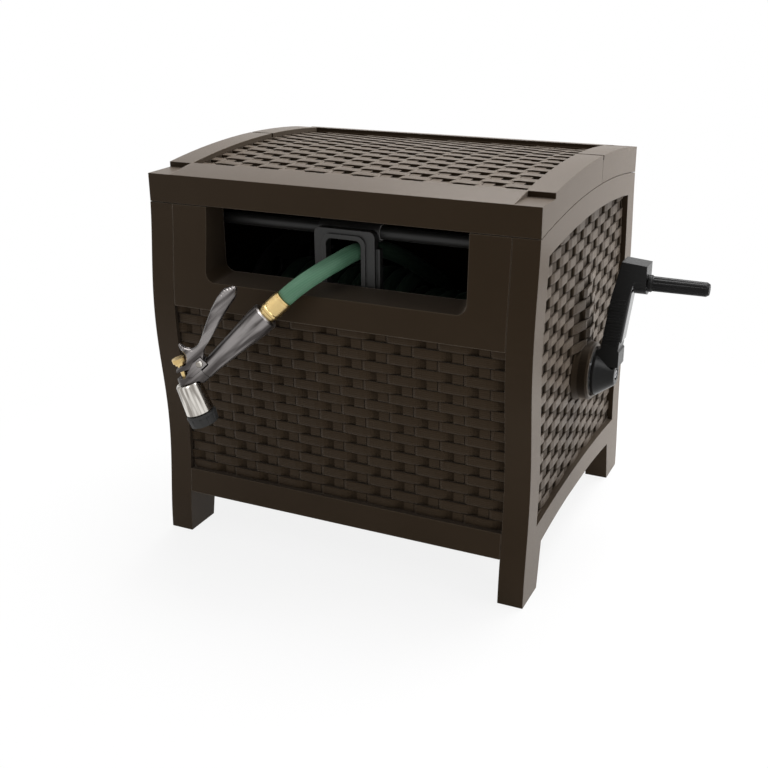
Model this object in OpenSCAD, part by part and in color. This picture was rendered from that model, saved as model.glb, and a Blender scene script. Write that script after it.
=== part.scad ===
// Garden hose reel in a moulded wicker cabinet, with crank, sliding hose guide and spray nozzle.
// Millimetres, +Z up, the cabinet's front looks along -Y and the crank is on its +X side.
// The origin is on the floor, under the centre of the overall box.

/* [Cabinet] */
// Width of the cabinet across its front
cab_w = 554; // [520:1:600]
// Half depth of the cabinet at the middle of the posts' swell
swell_mid = 237; // [225:1:250]
// How far the posts swell out and in from that half depth
swell_amp = 6.2; // [0:0.2:9]
// Height at which the posts stand out most
swell_z = 340; // [320:1:360]
// Height of the crown of the lid
crown_z = 549; // [535:1:570]
// Radius of the lid's crown from front to back
crown_r = 1500; // [1200:10:2000]
// Width of a corner post across the front
post_w = 35; // [30:1:45]
// Depth of a corner post and frame edge along the side
post_d = 38; // [32:1:44]
// Depth of a foot along the side, at the floor
foot_d = 58; // [50:1:66]
// Thickness of the double-walled panels
panel_t = 24; // [20:0.5:28]
// Height of the bottom rail's lower edge
rail_z = 63; // [50:1:75]
// Height of the bottom rail
rail_h = 36; // [28:1:42]
// Rise of the arch in the side rails
rail_rise = 11; // [4:1:16]
// Thickness of the floor tray
tray_t = 4; // [3:0.5:6]
// Gap left at seams between moulded pieces
seam = 0.5; // [0.3:0.1:1]

/* [Woven fields] */
// Height of one woven row
row_pitch = 14.2; // [12:0.1:17]
// Distance from one stake to the next
stake_pitch = 35.5; // [30:0.5:40]
// Length of a ribbon where it passes over a stake
float_len = 54.7; // [46.7:1:58.7]
// Width of a stake where it shows
stake_w = 14.5; // [10:0.5:16]
// Gap between two rows
row_gap = 0.9; // [0.5:0.1:1.5]
// How deep the pits of the weave are
weave_relief = 4.5; // [3:0.1:6]
// How far the side and lid fields lie below their frame
field_recess = 7; // [5:0.5:9]
// How far the front and back fields lie below their frame
front_recess = 5; // [3:0.5:7]

/* [Window] */
// Half width of the hose window at the face
window_half = 189; // [160:1:200]
// Height of the window's sill at the face
window_z = 391; // [380:1:410]
// Depth of the window's reveal
reveal_d = 43; // [30:1:46]
// How much the reveal narrows towards the inside
reveal_draft = 7; // [2:1:9]
// Radius of the window's lower corners
window_r = 14; // [8:1:20]
// Height of the top of the front panel's woven field
front_field_z = 352; // [330:1:360]

/* [Lid] */
// Height of the lid's skirt
skirt_h = 37.5; // [30:0.5:44]
// Wall of the lid's skirt
skirt_t = 4; // [3:0.5:6]
// Width of the smooth bands along the lid's sides
band_w = 37; // [30:1:45]
// Depth of the smooth border along the lid's front
border_d = 53; // [40:1:60]
// How far the corner pockets drop below the bands
pocket_drop = 18; // [10:0.5:20]
// Distance of the hinge behind the cabinet's centre
hinge_y = 34; // [10:1:60]
// Depth of the hinge axis below the crown
hinge_drop = 3; // [2.6:0.1:4]
// Radius of the hinge pins
hinge_pin_r = 1.5; // [1.2:0.1:1.8]
// Angle to which the lid opens
lid_open = 95; // [60:1:100]

/* [Reel] */
// Height of the reel's axis
axle_z = 253; // [245:1:262]
// Radius of the flanges
flange_r = 156; // [146:1:160]
// Inside distance between the flanges
drum_len = 384; // [360:1:400]
// Radius of the drum
drum_r = 60; // [50:1:75]
// Outer radius of the hose layers under the outer one
core_r = 90; // [84:0.5:116]
// Radius of the journals in their bearings
journal_r = 22; // [18:0.5:24]
// Running clearance of shafts, rails and pins
running = 0.06; // [0.05:0.01:0.09]
// Radius of the inlet tube
inlet_r = 13.45; // [12:0.05:15]
// How far the inlet's thread stands out of the left boss
inlet_out = 22; // [16:1:28]

/* [Crank] */
// Distance from the axle to the grip
crank_len = 136; // [110:1:145]
// How far the weave swells out above the boss
ridge_h = 15; // [0:1:18]
// Radius of the crank's hub disc
hub_r = 33.5; // [28:0.5:38]
// Radius of the boss that the hub turns in front of
boss_r = 41.5; // [38:0.5:48]
// How far the boss stands out of the cabinet's side
boss_out = 15; // [10:1:20]
// Radius of the grip
grip_r = 10.2; // [9:0.1:13]
// Length of the grip
grip_len = 80; // [70:1:95]

/* [Hose guide] */
// Width of the guide
guide_w = 88; // [76:1:100]
// Width of the hole in the guide
guide_hole_w = 51; // [42:1:56]
// Height of the hole in the guide
guide_hole_h = 68; // [56:1:72]
// Radius of the upper rail
rail_r = 9; // [8:0.5:11]
// Radius of the lower rail
low_rail_r = 7; // [5:0.5:9]
// How far the guide slides to each side
guide_travel = 125; // [80:1:135]

/* [Hose and nozzle] */
// Outer diameter of the hose
hose_d = 23; // [20:0.5:24]
// Turns in the outer layer on the drum
hose_turns = 9; // [5:1:13]
// Gap between two turns
turn_gap = 0.8; // [0.5:0.1:1.6]
// Radius of the brass coupling
coupling_r = 13.5; // [13:0.1:14.5]
// Length of the nozzle's handle
handle_len = 108; // [95:1:120]
// Radius of the handle at the hose end
handle_r = 19; // [17:0.5:20]
// Radius of the spray head
head_r = 20; // [18:0.5:22]
// Length of the trigger's lever from its pin
lever_len = 110; // [90:1:120]

/* [Hidden] */
$fn = 64;
eps = 0.01;
brown = [0.23, 0.19, 0.15];
black = [0.11, 0.11, 0.11];
green = [0.23, 0.42, 0.30];
brass = [0.78, 0.62, 0.33];
chrome = [0.80, 0.80, 0.82];
steel = [0.62, 0.63, 0.65];
charcoal = [0.30, 0.29, 0.29];

// Places of the cabinet's faces
side_x = cab_w / 2;
inner_x = side_x - panel_t;
post_x = side_x - post_w;
field_x = side_x - field_recess;
swell_half = 175;
top_clear = seam + 0.5;
crown_fn = 360;
skirt_r = crown_r - skirt_h;
panel_top_r = skirt_r - top_clear;
side_field_r = panel_top_r - 32.5;
weave_back = weave_relief + 1.5;
max_depth = swell_mid + swell_amp;

// Half depth of the cabinet at a height: the long S of its posts
function swell(z) = swell_mid + swell_amp * cos(180 * (z - swell_z) / swell_half);

// Height of a crowned surface of radius r at depth y
function crown(r, y) = crown_z - crown_r + sqrt(r * r - y * y);

// Steps of height for the posts' curve
function steps(z0, z1, n) = [for (i = [0:n]) z0 + (z1 - z0) * i / n];

lid_depth = floor(swell(crown(skirt_r, swell_mid)));

// Inner faces of the flanges, webs of the drum, and the water way through the left journal
flange_x = drum_len / 2;
web_t = 8;
spigot_r = inlet_r - 1.5;
hub_bore = inlet_r + 0.6;

// Lips of the side panels behind the front and back panels, and the heights of their screws
lip_w = 16;
lip_t = 4;
screw_z = [130, 330];

// Places of the window, the hose guide and its two rails
window_face = swell(window_z);
window_back = window_face - reveal_d;
plate_t = 12;
guide_y = -window_back + 5.5;
rail_y = guide_y + plate_t + 12;
rail_zc = window_z + 74.5;
// The guide stands a little to the left of the middle
guide_x = -1.5;
low_rail_z = window_z - 19;
hole_z = window_z + 33;

// Places the whole reel in its frame, centred on its overall box
grip_x0 = side_x + boss_out + 66;
reach_right = grip_x0 + grip_len;
reach_left = side_x + boss_out + inlet_out;
module in_frame() {
    translate([(reach_left - reach_right) / 2, 0, 0]) children();
}

// Extrudes a drawing of (depth, height) along X, from x to x + t
module along_x(x, t) {
    translate([x, 0, 0]) rotate([90, 0, 90]) linear_extrude(t) children();
}

// Extrudes a drawing of (x, height) along Y, from y to y + t
module along_y(y, t) {
    translate([0, y + t, 0]) rotate([90, 0, 0]) linear_extrude(t) children();
}

// A cylinder along X
module rod_x(x, len, r) {
    translate([x, 0, 0]) rotate([0, 90, 0]) cylinder(r = r, h = len);
}

// The solid under a crowned surface of radius r
module under_crown(r, x, len) {
    translate([x, 0, crown_z - crown_r]) rotate([0, 90, 0]) cylinder(r = r, h = len, $fn = crown_fn);
}

// Drawing of the cabinet's side between two heights, drawn in by inset from the posts' curve
module side_slice(z0, z1, inset, n = 24) {
    polygon(concat(
        [for (z = steps(z0, z1, n)) [swell(z) - inset, z]],
        [for (z = steps(z1, z0, n)) [-swell(z) + inset, z]]));
}

// How far the weave swells out over the boss, at height z and at distance u from the middle
function swelling(h, u) = h * exp(-pow((u - 8) / 40, 2));

// One woven row as a drawing of (along, outward): ribbons over every second stake, stakes between
function row_points(u0, u1, odd, h = 0) =
    let (
        period = 2 * stake_pitch,
        first = floor(u0 / period) - 1,
        last = ceil(u1 / period) + 1,
        half = float_len / 2,
        sw = stake_w / 2,
        low = -weave_relief)
    concat(
        [[last * period + odd * stake_pitch - stake_pitch, -weave_back],
         [first * period + odd * stake_pitch - stake_pitch, -weave_back]],
        [for (k = [first:last - 1]) let (c = k * period + odd * stake_pitch)
            for (p = [
                [c - stake_pitch + sw, low], [c - half + 7.5, 0.84 * low],
                [c - half + 14, -1.1], [c - 3, 0], [c + half - 4, -0.7], [c + half, -1.9],
                [c + half, low], [c + stake_pitch - sw, low],
                [c + stake_pitch - sw, -1.9], [c + stake_pitch + sw, -1.9]
            ]) p + [0, swelling(h, p[0])]]);

// Height of the swelling over the boss at distance v above the axle
function ridge(v) = v < 30 ? 0 : ridge_h * pow(cos(90 * min(1, max(0, (v - 40) / 140))), 2);

// Rows of the weave from row_a to row_b, lying in X and Y and facing up, centred on y = 0 for row 0
module woven_rows(u0, u1, row_a, row_b) {
    for (j = [row_a:row_b])
        translate([0, j * row_pitch + (row_pitch - row_gap) / 2, 0]) rotate([90, 0, 0])
            linear_extrude(row_pitch - row_gap)
                polygon(row_points(u0, u1, abs(j) % 2, ridge(j * row_pitch)));
}

// The space under an arch that springs from height z at half its width
module rail_arch(z, rise, half) {
    r = (half * half + rise * rise) / (2 * rise);
    translate([0, z + rise - r]) circle(r = r, $fn = crown_fn);
}

// Drawing of the woven field in a side panel
module side_field() {
    difference() {
        intersection() {
            side_slice(rail_z + rail_h - 4, crown_z, post_d);
            translate([0, crown_z - crown_r]) circle(r = side_field_r, $fn = crown_fn);
        }
        rail_arch(rail_z + rail_h, rail_rise - 2, swell_mid - post_d);
    }
}

// Drawing of a side panel: posts, feet and arched rail
module side_outline() {
    foot_in = foot_d + 10;
    difference() {
        intersection() {
            side_slice(0, crown_z, 0, 36);
            translate([0, crown_z - crown_r]) circle(r = panel_top_r, $fn = crown_fn);
        }
        intersection() {
            polygon([
                [-swell(0) + foot_d, -1], [-swell(rail_z) + foot_in, rail_z + rail_rise + 1],
                [swell(rail_z) - foot_in, rail_z + rail_rise + 1], [swell(0) - foot_d, -1]]);
            rail_arch(rail_z + 2, rail_rise, swell_mid - foot_d);
        }
    }
}

// Drawing of one pair of posts with their feet
module post_outline() {
    intersection() {
        side_outline();
        union() {
            for (s = [0, 1])
                mirror([s, 0]) polygon(concat(
                    [[swell(0) - foot_d, 0]],
                    [for (z = steps(0, crown_z, 36)) [swell(z), z]],
                    [for (z = steps(crown_z, rail_z, 30)) [swell(z) - panel_t - 4, z]],
                    [[swell(rail_z) - foot_d - 10, rail_z]]));
        }
    }
}

// Drawing of the two lips behind the front and back panels, which their screws pass through
module lips() {
    z0 = rail_z + rail_h + 10;
    z1 = window_z - 10;
    difference() {
        side_slice(z0, z1, panel_t + seam);
        side_slice(z0 - 10, z1 + 10, panel_t + seam + lip_t);
    }
}

// A moulded side of the cabinet, made on the +X side and mirrored for the left one
module side_shell(cone_out) {
    rim_x = side_x + cone_out;
    difference() {
        union() {
            along_x(inner_x, panel_t) side_outline();
            along_x(post_x, post_w) post_outline();
            along_x(post_x - lip_w, lip_w + post_w - panel_t + 1) lips();
        }
        along_x(field_x - weave_relief, panel_t) side_field();
        translate([inner_x, 0, 0]) rail_sockets();
        for (z = screw_z, s = [-1, 1])
            translate([post_x - lip_w / 2, s * swell(z), z]) rotate([90, 0, 0])
                cylinder(r = 2.3, h = 2 * panel_t + 20, center = true);
        translate([inner_x - 1, 0, axle_z]) rod_x(0, side_x, journal_r + 5);
    }
    // The woven field
    difference() {
        intersection() {
            translate([field_x, 0, axle_z]) rotate([90, 0, 90])
                woven_rows(-swell_mid, swell_mid, -11, 15);
            along_x(inner_x, panel_t + 20) side_field();
        }
        translate([0, 0, axle_z]) rod_x(inner_x, side_x, boss_r - 2);
    }
    // The boss round the axle
    translate([field_x - weave_relief - 1, 0, axle_z]) rotate([0, 90, 0]) difference() {
        rotate_extrude() polygon([
            [journal_r + 5, 0], [boss_r + 3.5, 0], [boss_r + 2.5, weave_relief + 2],
            [boss_r, weave_relief + 9], [boss_r, rim_x - field_x + weave_relief - 2],
            [boss_r - 2, rim_x - field_x + weave_relief + 1],
            [boss_r - 6, rim_x - field_x + weave_relief + 1],
            [boss_r - 6, rim_x - field_x + weave_relief - 3],
            [journal_r + 5, rim_x - field_x + weave_relief - 3]]);
    }
}

// Sockets that hold the ends of the two rails
socket_d = 8;
module rail_sockets() {
    translate([-eps, rail_y, rail_zc]) rod_x(0, socket_d, rail_r + 0.2);
    translate([-eps, rail_y, low_rail_z]) rod_x(0, socket_d, low_rail_r + 0.2);
}

module left_side_panel() {
    color(brown) mirror([1, 0, 0]) side_shell(boss_out);
}

module right_side_panel() {
    color(brown) side_shell(boss_out);
}

// Holes for the screws in the ends of the front and back panels
module screw_holes() {
    for (z = screw_z, s = [-1, 1])
        translate([s * (post_x - lip_w / 2), -swell(z) + panel_t - 12, z]) rotate([-90, 0, 0])
            cylinder(r = 1.9, h = 30);
}

// The front or back skin between the posts, as thick as the panels and curved like the posts
module skin(z0, z1, half, inset, t) {
    along_x(-half, 2 * half) polygon(concat(
        [for (z = steps(z0, z1, 24)) [-swell(z) + inset, z]],
        [for (z = steps(z1, z0, 24)) [-swell(z) + inset + t, z]]));
}

// Rows of weave on the front, each set at the posts' curve
module front_rows(z0, z1, half) {
    rows = floor((z1 - z0) / row_pitch);
    for (j = [0:rows]) {
        z = z0 + j * row_pitch;
        h = min(row_pitch - row_gap, z1 - z + 1);
        translate([0, -swell(z + h / 2) + front_recess, z]) rotate([0, 0, 180])
            intersection() {
                linear_extrude(h) polygon(row_points(-half, half, j % 2));
                translate([-half, -panel_t, 0]) cube([2 * half, 2 * panel_t, h]);
            }
    }
}

panel_half = post_x - seam;
field_z0 = rail_z + rail_h;
floor_inset = front_recess + weave_relief;

module front_panel() {
    corner_top = crown(panel_top_r, lid_depth);
    color(brown) difference() {
        union() {
            skin(rail_z, field_z0, panel_half, 0, panel_t);
            skin(field_z0 - 1, front_field_z + 1, panel_half, floor_inset, panel_t - floor_inset);
            front_rows(field_z0, front_field_z, panel_half);
            skin(front_field_z, corner_top, panel_half, 0, panel_t);
            translate([-window_half - 6, -window_face + 15, window_z - 7])
                cube([2 * window_half + 12, reveal_d - 15, corner_top - window_z + 7]);
        }
        screw_holes();
        hull() {
            window_slot(-window_face - 8, 0);
            window_slot(-window_face + reveal_d + 1, reveal_draft * (reveal_d + 9) / reveal_d);
        }
    }
}

// A thin slice of the window's opening at depth y, drawn in by inset
module window_slot(y, inset) {
    half = window_half + reveal_draft * 8 / reveal_d - inset;
    z0 = window_z - reveal_draft * 8 / reveal_d + inset;
    along_y(y, 0.5) union() {
        for (s = [-1, 1])
            translate([s * (half - window_r), z0 + window_r]) circle(r = window_r, $fn = 32);
        translate([-half, crown_z - 10]) square([2 * half, 10]);
    }
}

module back_panel() {
    corner_top = crown(panel_top_r, lid_depth);
    back_field_top = field_z0 + 24 * row_pitch;
    color(brown) rotate([0, 0, 180]) difference() {
        union() {
            skin(rail_z, field_z0, panel_half, 0, panel_t);
            skin(field_z0 - 1, back_field_top + 1, panel_half, floor_inset, panel_t - floor_inset);
            front_rows(field_z0, back_field_top, panel_half);
            skin(back_field_top, corner_top, panel_half, 0, panel_t);
        }
        screw_holes();
    }
}

module base_tray() {
    z0 = rail_z + rail_rise + 6;
    tray_h = 26;
    edge = swell(z0 + tray_h) - panel_t - seam;
    color(brown) difference() {
        translate([-inner_x + seam, -edge, z0]) cube([2 * (inner_x - seam), 2 * edge, tray_h]);
        translate([-inner_x + seam + tray_t, -edge + tray_t, z0 + tray_t])
            cube([2 * (inner_x - seam - tray_t), 2 * (edge - tray_t), 40]);
        // Room for the posts that reach inside
        for (sx = [-1, 1], sy = [-1, 1])
            translate([sx * inner_x - 14, sy * edge - 8, z0 - 1]) cube([28, 16, 60]);
    }
}

// The crowned shell that the lid and the deck are cut from, between two depths
module crown_shell(y0, y1, skirt_y0, skirt_y1) {
    plate_r = crown_r - field_recess - weave_back - 3;
    difference() {
        intersection() {
            under_crown(crown_r, -side_x, 2 * side_x);
            translate([-side_x, y0, 0]) cube([2 * side_x, y1 - y0, crown_z]);
        }
        under_crown(skirt_r, -side_x - 1, 2 * side_x + 2);
        intersection() {
            under_crown(plate_r, -side_x + skirt_t, 2 * (side_x - skirt_t));
            translate([-side_x, y0 + skirt_y0, 0])
                cube([2 * side_x, y1 - y0 - skirt_y0 - skirt_y1, crown_z]);
        }
    }
}

// The sunk field of the lid, between two depths
module lid_field(y0, y1) {
    difference() {
        translate([-side_x + band_w, y0, crown_z - 60]) cube([2 * (side_x - band_w), y1 - y0, 80]);
        under_crown(crown_r - field_recess - weave_relief - 0.7, -side_x, 2 * side_x);
    }
}

// Woven rows laid over the crown from row_a to row_b, cut to the field between two depths
module crown_rows(row_a, row_b, y0, y1) {
    r = crown_r - field_recess;
    half = side_x - band_w + 1;
    for (j = [row_a:row_b]) {
        a = j * row_pitch / r * 180 / PI;
        intersection() {
            translate([0, 0, crown_z - crown_r]) rotate([-a, 0, 0])
                translate([0, (row_pitch - row_gap) / 2, r]) rotate([90, 0, 0])
                    linear_extrude(row_pitch - row_gap) polygon(row_points(-half, half, abs(j) % 2));
            translate([-half, y0, crown_z - 80]) cube([2 * half, y1 - y0, 100]);
        }
    }
}

// A corner pocket at the front or back of the lid's bands
module corner_pocket(sx, sy) {
    floor_z = crown_z - pocket_drop;
    wide = band_w - corner_web;
    deep = border_d - corner_web;
    translate([sx > 0 ? side_x - wide : -side_x - 1, sy > 0 ? lid_depth - deep : -lid_depth - 1, floor_z])
        cube([wide + 1, deep + 1, pocket_drop + 1]);
}

hinge_z = crown(crown_r, hinge_y) - hinge_drop;
knuckle_r = hinge_drop - 0.4;
corner_web = 2;
knuckle_len = 15;
hinge_set_back = hinge_drop * tan(lid_open / 2) + 0.6;

// Puts something on the hinge axis
module at_hinge(x) {
    translate([x, hinge_y, hinge_z]) children();
}

module front_lid() {
    rear = hinge_y - seam;
    color(brown) difference() {
        union() {
            difference() {
                union() {
                    difference() {
                        crown_shell(-lid_depth, rear + 1, skirt_t, 0);
                        lid_field(-lid_depth + border_d, rear + 2);
                        for (s = [-1, 1]) corner_pocket(s, -1);
                    }
                    crown_rows(-floor((lid_depth - border_d) / row_pitch), floor(rear / row_pitch) + 1,
                        -lid_depth + border_d - 1, rear + 1);
                }
                translate([-side_x - 1, rear, crown_z - 100]) cube([2 * side_x + 2, 5, 200]);
            }
            for (s = [-1, 1]) lid_knuckle(s);
        }
        for (s = [-1, 1]) {
            at_hinge(s * (side_x - band_w / 2)) translate([s * (knuckle_len / 2 + 1), 0, 0])
                rod_x(-knuckle_len / 2 - 1, knuckle_len + 2, knuckle_r + 1);
            at_hinge(s * (side_x - band_w / 2)) hinge_bore();
        }
    }
}

// The bore that a hinge pin turns in
module hinge_bore() {
    rod_x(-knuckle_len - 1.5, 2 * knuckle_len + 3, hinge_pin_r + running);
}

// The lid's half of a hinge, its nose round the pin
module lid_knuckle(s) {
    at_hinge(s * (side_x - band_w / 2) - s * (knuckle_len / 2 + 1.5))
        rod_x(-knuckle_len / 2, knuckle_len, knuckle_r);
}

module rear_deck() {
    front = hinge_y + seam;
    half = side_x - band_w;
    color(brown) difference() {
        union() {
            difference() {
                union() {
                    difference() {
                        crown_shell(front - 1, lid_depth, 0, skirt_t);
                        lid_field(front - 2, lid_depth - border_d);
                        for (s = [-1, 1]) corner_pocket(s, 1);
                    }
                    crown_rows(floor(front / row_pitch), ceil((lid_depth - border_d) / row_pitch),
                        front - 1, lid_depth - border_d + 1);
                }
                translate([-side_x - 1, front - 5, crown_z - 100]) cube([2 * side_x + 2, 5, 200]);
                // Set back above the hinge axis, so that the lid can stand up
                for (s = [-1, 1])
                    translate([s * (side_x - band_w / 2) - band_w / 2 - 1, front - 1,
                        hinge_z - hinge_drop - 0.6])
                        cube([band_w + 2, hinge_set_back - seam + 1, 3 * hinge_drop]);
            }
            for (s = [-1, 1]) deck_knuckle(s);
        }
        for (s = [-1, 1])
            at_hinge(s * (side_x - band_w / 2)) hinge_bore();
    }
}

// The deck's half of a hinge, reaching forward to the pin
module deck_knuckle(s) {
    reach = hinge_set_back + 1;
    at_hinge(s * (side_x - band_w / 2) + s * (knuckle_len / 2 + 1)) union() {
        rod_x(-knuckle_len / 2 + 0.4, knuckle_len - 0.8, knuckle_r);
        translate([-knuckle_len / 2 + 0.4, 0, -knuckle_r + 0.5])
            cube([knuckle_len - 0.8, reach, knuckle_r]);
    }
}

module hinge_pins() {
    color(steel) for (s = [-1, 1])
        at_hinge(s * (side_x - band_w / 2)) rod_x(-knuckle_len - 1, 2 * knuckle_len + 2, hinge_pin_r);
}

module guide_rail(z, r) {
    len = 2 * (inner_x + socket_d - 0.4);
    translate([-len / 2, rail_y, z]) rod_x(0, len, r);
}

module upper_guide_rail() {
    color(black) guide_rail(rail_zc, rail_r);
}

module lower_guide_rail() {
    color(black) guide_rail(low_rail_z, low_rail_r);
}

// A flanged bush in a side panel, which the reel's journal turns in
module bearing() {
    depth = panel_t + boss_out - 5;
    translate([inner_x, 0, axle_z]) rotate([0, 90, 0]) rotate_extrude() polygon([
        [journal_r + running, -3], [journal_r + 9, -3], [journal_r + 9, -0.2],
        [journal_r + 4.9, -0.2], [journal_r + 4.9, depth], [journal_r + running, depth]]);
}

module left_bearing() {
    color(black) mirror([1, 0, 0]) bearing();
}

module right_bearing() {
    color(black) bearing();
}

journal_end = side_x + boss_out - 6;
shaft_r = 12;

// The still tube that feeds water into the reel, with its fixing flange and hose thread
module inlet_fitting() {
    face = side_x + boss_out - 2.7;
    deep = face - flange_x + web_t + 4;
    color(black) translate([-face, 0, axle_z]) rotate([0, -90, 0]) rotate_extrude() polygon([
        [9, -deep], [spigot_r, -deep], [spigot_r, -1], [boss_r - 7, -1],
        [boss_r - 7, 4], [inlet_r + 3, 4], [inlet_r + 3, 6], [inlet_r, 6],
        [inlet_r, inlet_out + 2.7], [9, inlet_out + 2.7]]);
}

// Rubber rings between the inlet tube and the reel's hollow journal
module inlet_seals() {
    color(black) for (x = [-flange_x - 18, -flange_x - 30])
        translate([x, 0, axle_z]) rotate([0, 90, 0]) rotate_extrude()
            translate([(spigot_r + hub_bore) / 2, 0])
                circle(r = (hub_bore - spigot_r) / 2 - running, $fn = 24);
}

// A flange of the reel with its rim, ribs and journal; outward is +X
module flange(bore_r, journal_len) {
    translate([flange_x, 0, axle_z]) rotate([0, 90, 0]) difference() {
        union() {
            rotate_extrude() polygon([
                [0, 0], [flange_r - 3, 0], [flange_r - 1, 1.5], [flange_r, 4], [flange_r - 1, 9],
                [flange_r - 4, 11], [flange_r - 7, 9], [flange_r - 8, 4], [journal_r + 18, 4],
                [journal_r + 16, 14], [journal_r, 16], [journal_r, journal_len], [0, journal_len]]);
            for (a = [0:45:315]) rotate([0, 0, a])
                translate([journal_r + 14, -2, 3]) cube([flange_r - journal_r - 20, 4, 5]);
        }
        for (a = [22.5:45:337.5]) rotate([0, 0, a]) {
            translate([flange_r - 34, 0, -1]) cylinder(r = 15, h = 8);
            translate([flange_r - 68, 0, -1]) cylinder(r = 9, h = 8);
        }
        translate([0, 0, -1]) cylinder(r = bore_r, h = journal_len + 2);
        for (a = [0:90:270]) rotate([0, 0, a + 22.5])
            translate([drum_r - 14, 0, -1]) cylinder(r = 2.6, h = 20);
    }
}

module left_flange() {
    color(black) mirror([1, 0, 0]) flange(hub_bore, journal_end - flange_x);
}

module right_flange() {
    color(black) flange(shaft_r + running, journal_end - flange_x);
}

// The drum between the flanges, closed by a web at each end
module drum() {
    wall = 4;
    color(black) translate([-flange_x + 0.2, 0, axle_z]) rotate([0, 90, 0]) difference() {
        cylinder(r = drum_r, h = drum_len - 0.4);
        translate([0, 0, web_t]) cylinder(r = drum_r - wall, h = drum_len - 0.4 - 2 * web_t);
        translate([0, 0, -1]) cylinder(r = hub_bore, h = drum_len + 2);
        for (a = [0:90:270], z = [-1, drum_len - 12]) rotate([0, 0, a + 22.5])
            translate([drum_r - 14, 0, z]) cylinder(r = 1.9, h = 14);
        // The hose passes out through this slot
        translate([-drum_r - 5, -14, 22]) cube([30, 28, 40]);
    }
}

// Screws that hold the flanges to the drum's webs
module drum_screws() {
    color(steel) for (s = [0, 1], a = [0:90:270])
        mirror([s, 0, 0]) translate([flange_x, 0, axle_z]) rotate([0, 90, 0])
            rotate([0, 0, a + 22.5]) translate([drum_r - 14, 0, 0]) {
                translate([0, 0, -7]) cylinder(r = 1.8, h = 12);
                translate([0, 0, 4.1]) cylinder(r = 4.5, h = 3);
            }
}

// The turning elbow that takes water from the inlet tube out to the hose
module outlet_fitting() {
    x0 = -flange_x + 0.5 + web_t;
    color(black) difference() {
        union() {
            translate([x0, 0, axle_z]) rod_x(0, 52, hub_bore + 2);
            translate([x0 + 32, 0, axle_z]) cylinder(r = 11, h = 44);
        }
        translate([x0, 0, axle_z]) rod_x(-1, 46, hub_bore);
        translate([x0 + 32, 0, axle_z]) cylinder(r = 7, h = 60);
    }
}

// The hose layers that lie under the outer one, as a plain core
module hose_core() {
    color(green) translate([-flange_x + 1, 0, axle_z]) rotate([0, 90, 0]) difference() {
        cylinder(r = core_r, h = drum_len - 2, $fn = 96);
        translate([0, 0, -1]) cylinder(r = drum_r + 0.3, h = drum_len, $fn = 96);
    }
}

// Winding of the outer layer: an unbroken tube with straight ends, from the left flange inwards
turn_rings = 24;
hose_sides = 6;
turn_pitch = hose_d + turn_gap;
wind_r = core_r + hose_d / 2 + 1.5;
leave_a = 64;
wind_x0 = -flange_x + hose_d / 2 + 2;

// Centre of the winding at turn t, counted back from the end where the hose leaves
function wind_point(t) = let (a = leave_a - 360 * (hose_turns - t))
    [wind_x0 + turn_pitch * t, wind_r * cos(a), axle_z + wind_r * sin(a)];
function wind_dir(t) = let (a = leave_a - 360 * (hose_turns - t), w = 2 * PI * wind_r)
    [turn_pitch, -w * sin(a), w * cos(a)] / norm([turn_pitch, w]);
wind_path = concat(
    [wind_point(0) - hose_d * wind_dir(0)],
    [for (i = [0:hose_turns * turn_rings]) wind_point(i / turn_rings)],
    [wind_point(hose_turns) + hose_d * wind_dir(hose_turns)]);
hose_leave = wind_path[len(wind_path) - 1];

// A ring of n points round p, square to direction d, with one point towards up
function unit(v) = v / norm(v);
function ring(p, d, up, r, n) =
    let (side = unit(cross(d, up)), top = unit(cross(side, d)))
    [for (k = [0:n - 1]) p + r * (cos(360 * k / n) * top + sin(360 * k / n) * side)];

// A tube of radius r through points, with one direction and one up for each point
module tube(points, dirs, ups, r, n) {
    m = len(points);
    rings = [for (i = [0:m - 1]) each ring(points[i], dirs[i], ups[i], r, n)];
    sides = [for (i = [0:m - 2], k = [0:n - 1]) each [
        [i * n + k, i * n + (k + 1) % n, (i + 1) * n + k],
        [i * n + (k + 1) % n, (i + 1) * n + (k + 1) % n, (i + 1) * n + k]]];
    caps = [for (k = [1:n - 2], e = [0, (m - 1) * n])
        e == 0 ? [0, k + 1, k] : [e, e + k, e + k + 1]];
    polyhedron(points = rings, faces = concat(sides, caps), convexity = 10);
}

function along(points) = let (m = len(points)) [for (i = [0:m - 1])
    i == 0 ? unit(points[1] - points[0]) :
    i == m - 1 ? unit(points[m - 1] - points[m - 2]) :
    unit(unit(points[i] - points[i - 1]) + unit(points[i + 1] - points[i]))];

module hose_winding() {
    outward = [for (p = wind_path) unit([0, p[1], p[2] - axle_z])];
    color(green) tube(wind_path, along(wind_path), outward, hose_d / 2, hose_sides);
}

// Least gap of the winding to itself, measured from each point to the next turns
winding_gap = min([for (i = [0:len(wind_path) - turn_rings])
    min([for (j = [i + turn_rings - 3:min(i + turn_rings + 3, len(wind_path) - 1)])
        norm(wind_path[i] - wind_path[j]) - hose_d])]);
echo(least_gap_of_winding_to_itself = winding_gap);

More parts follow.
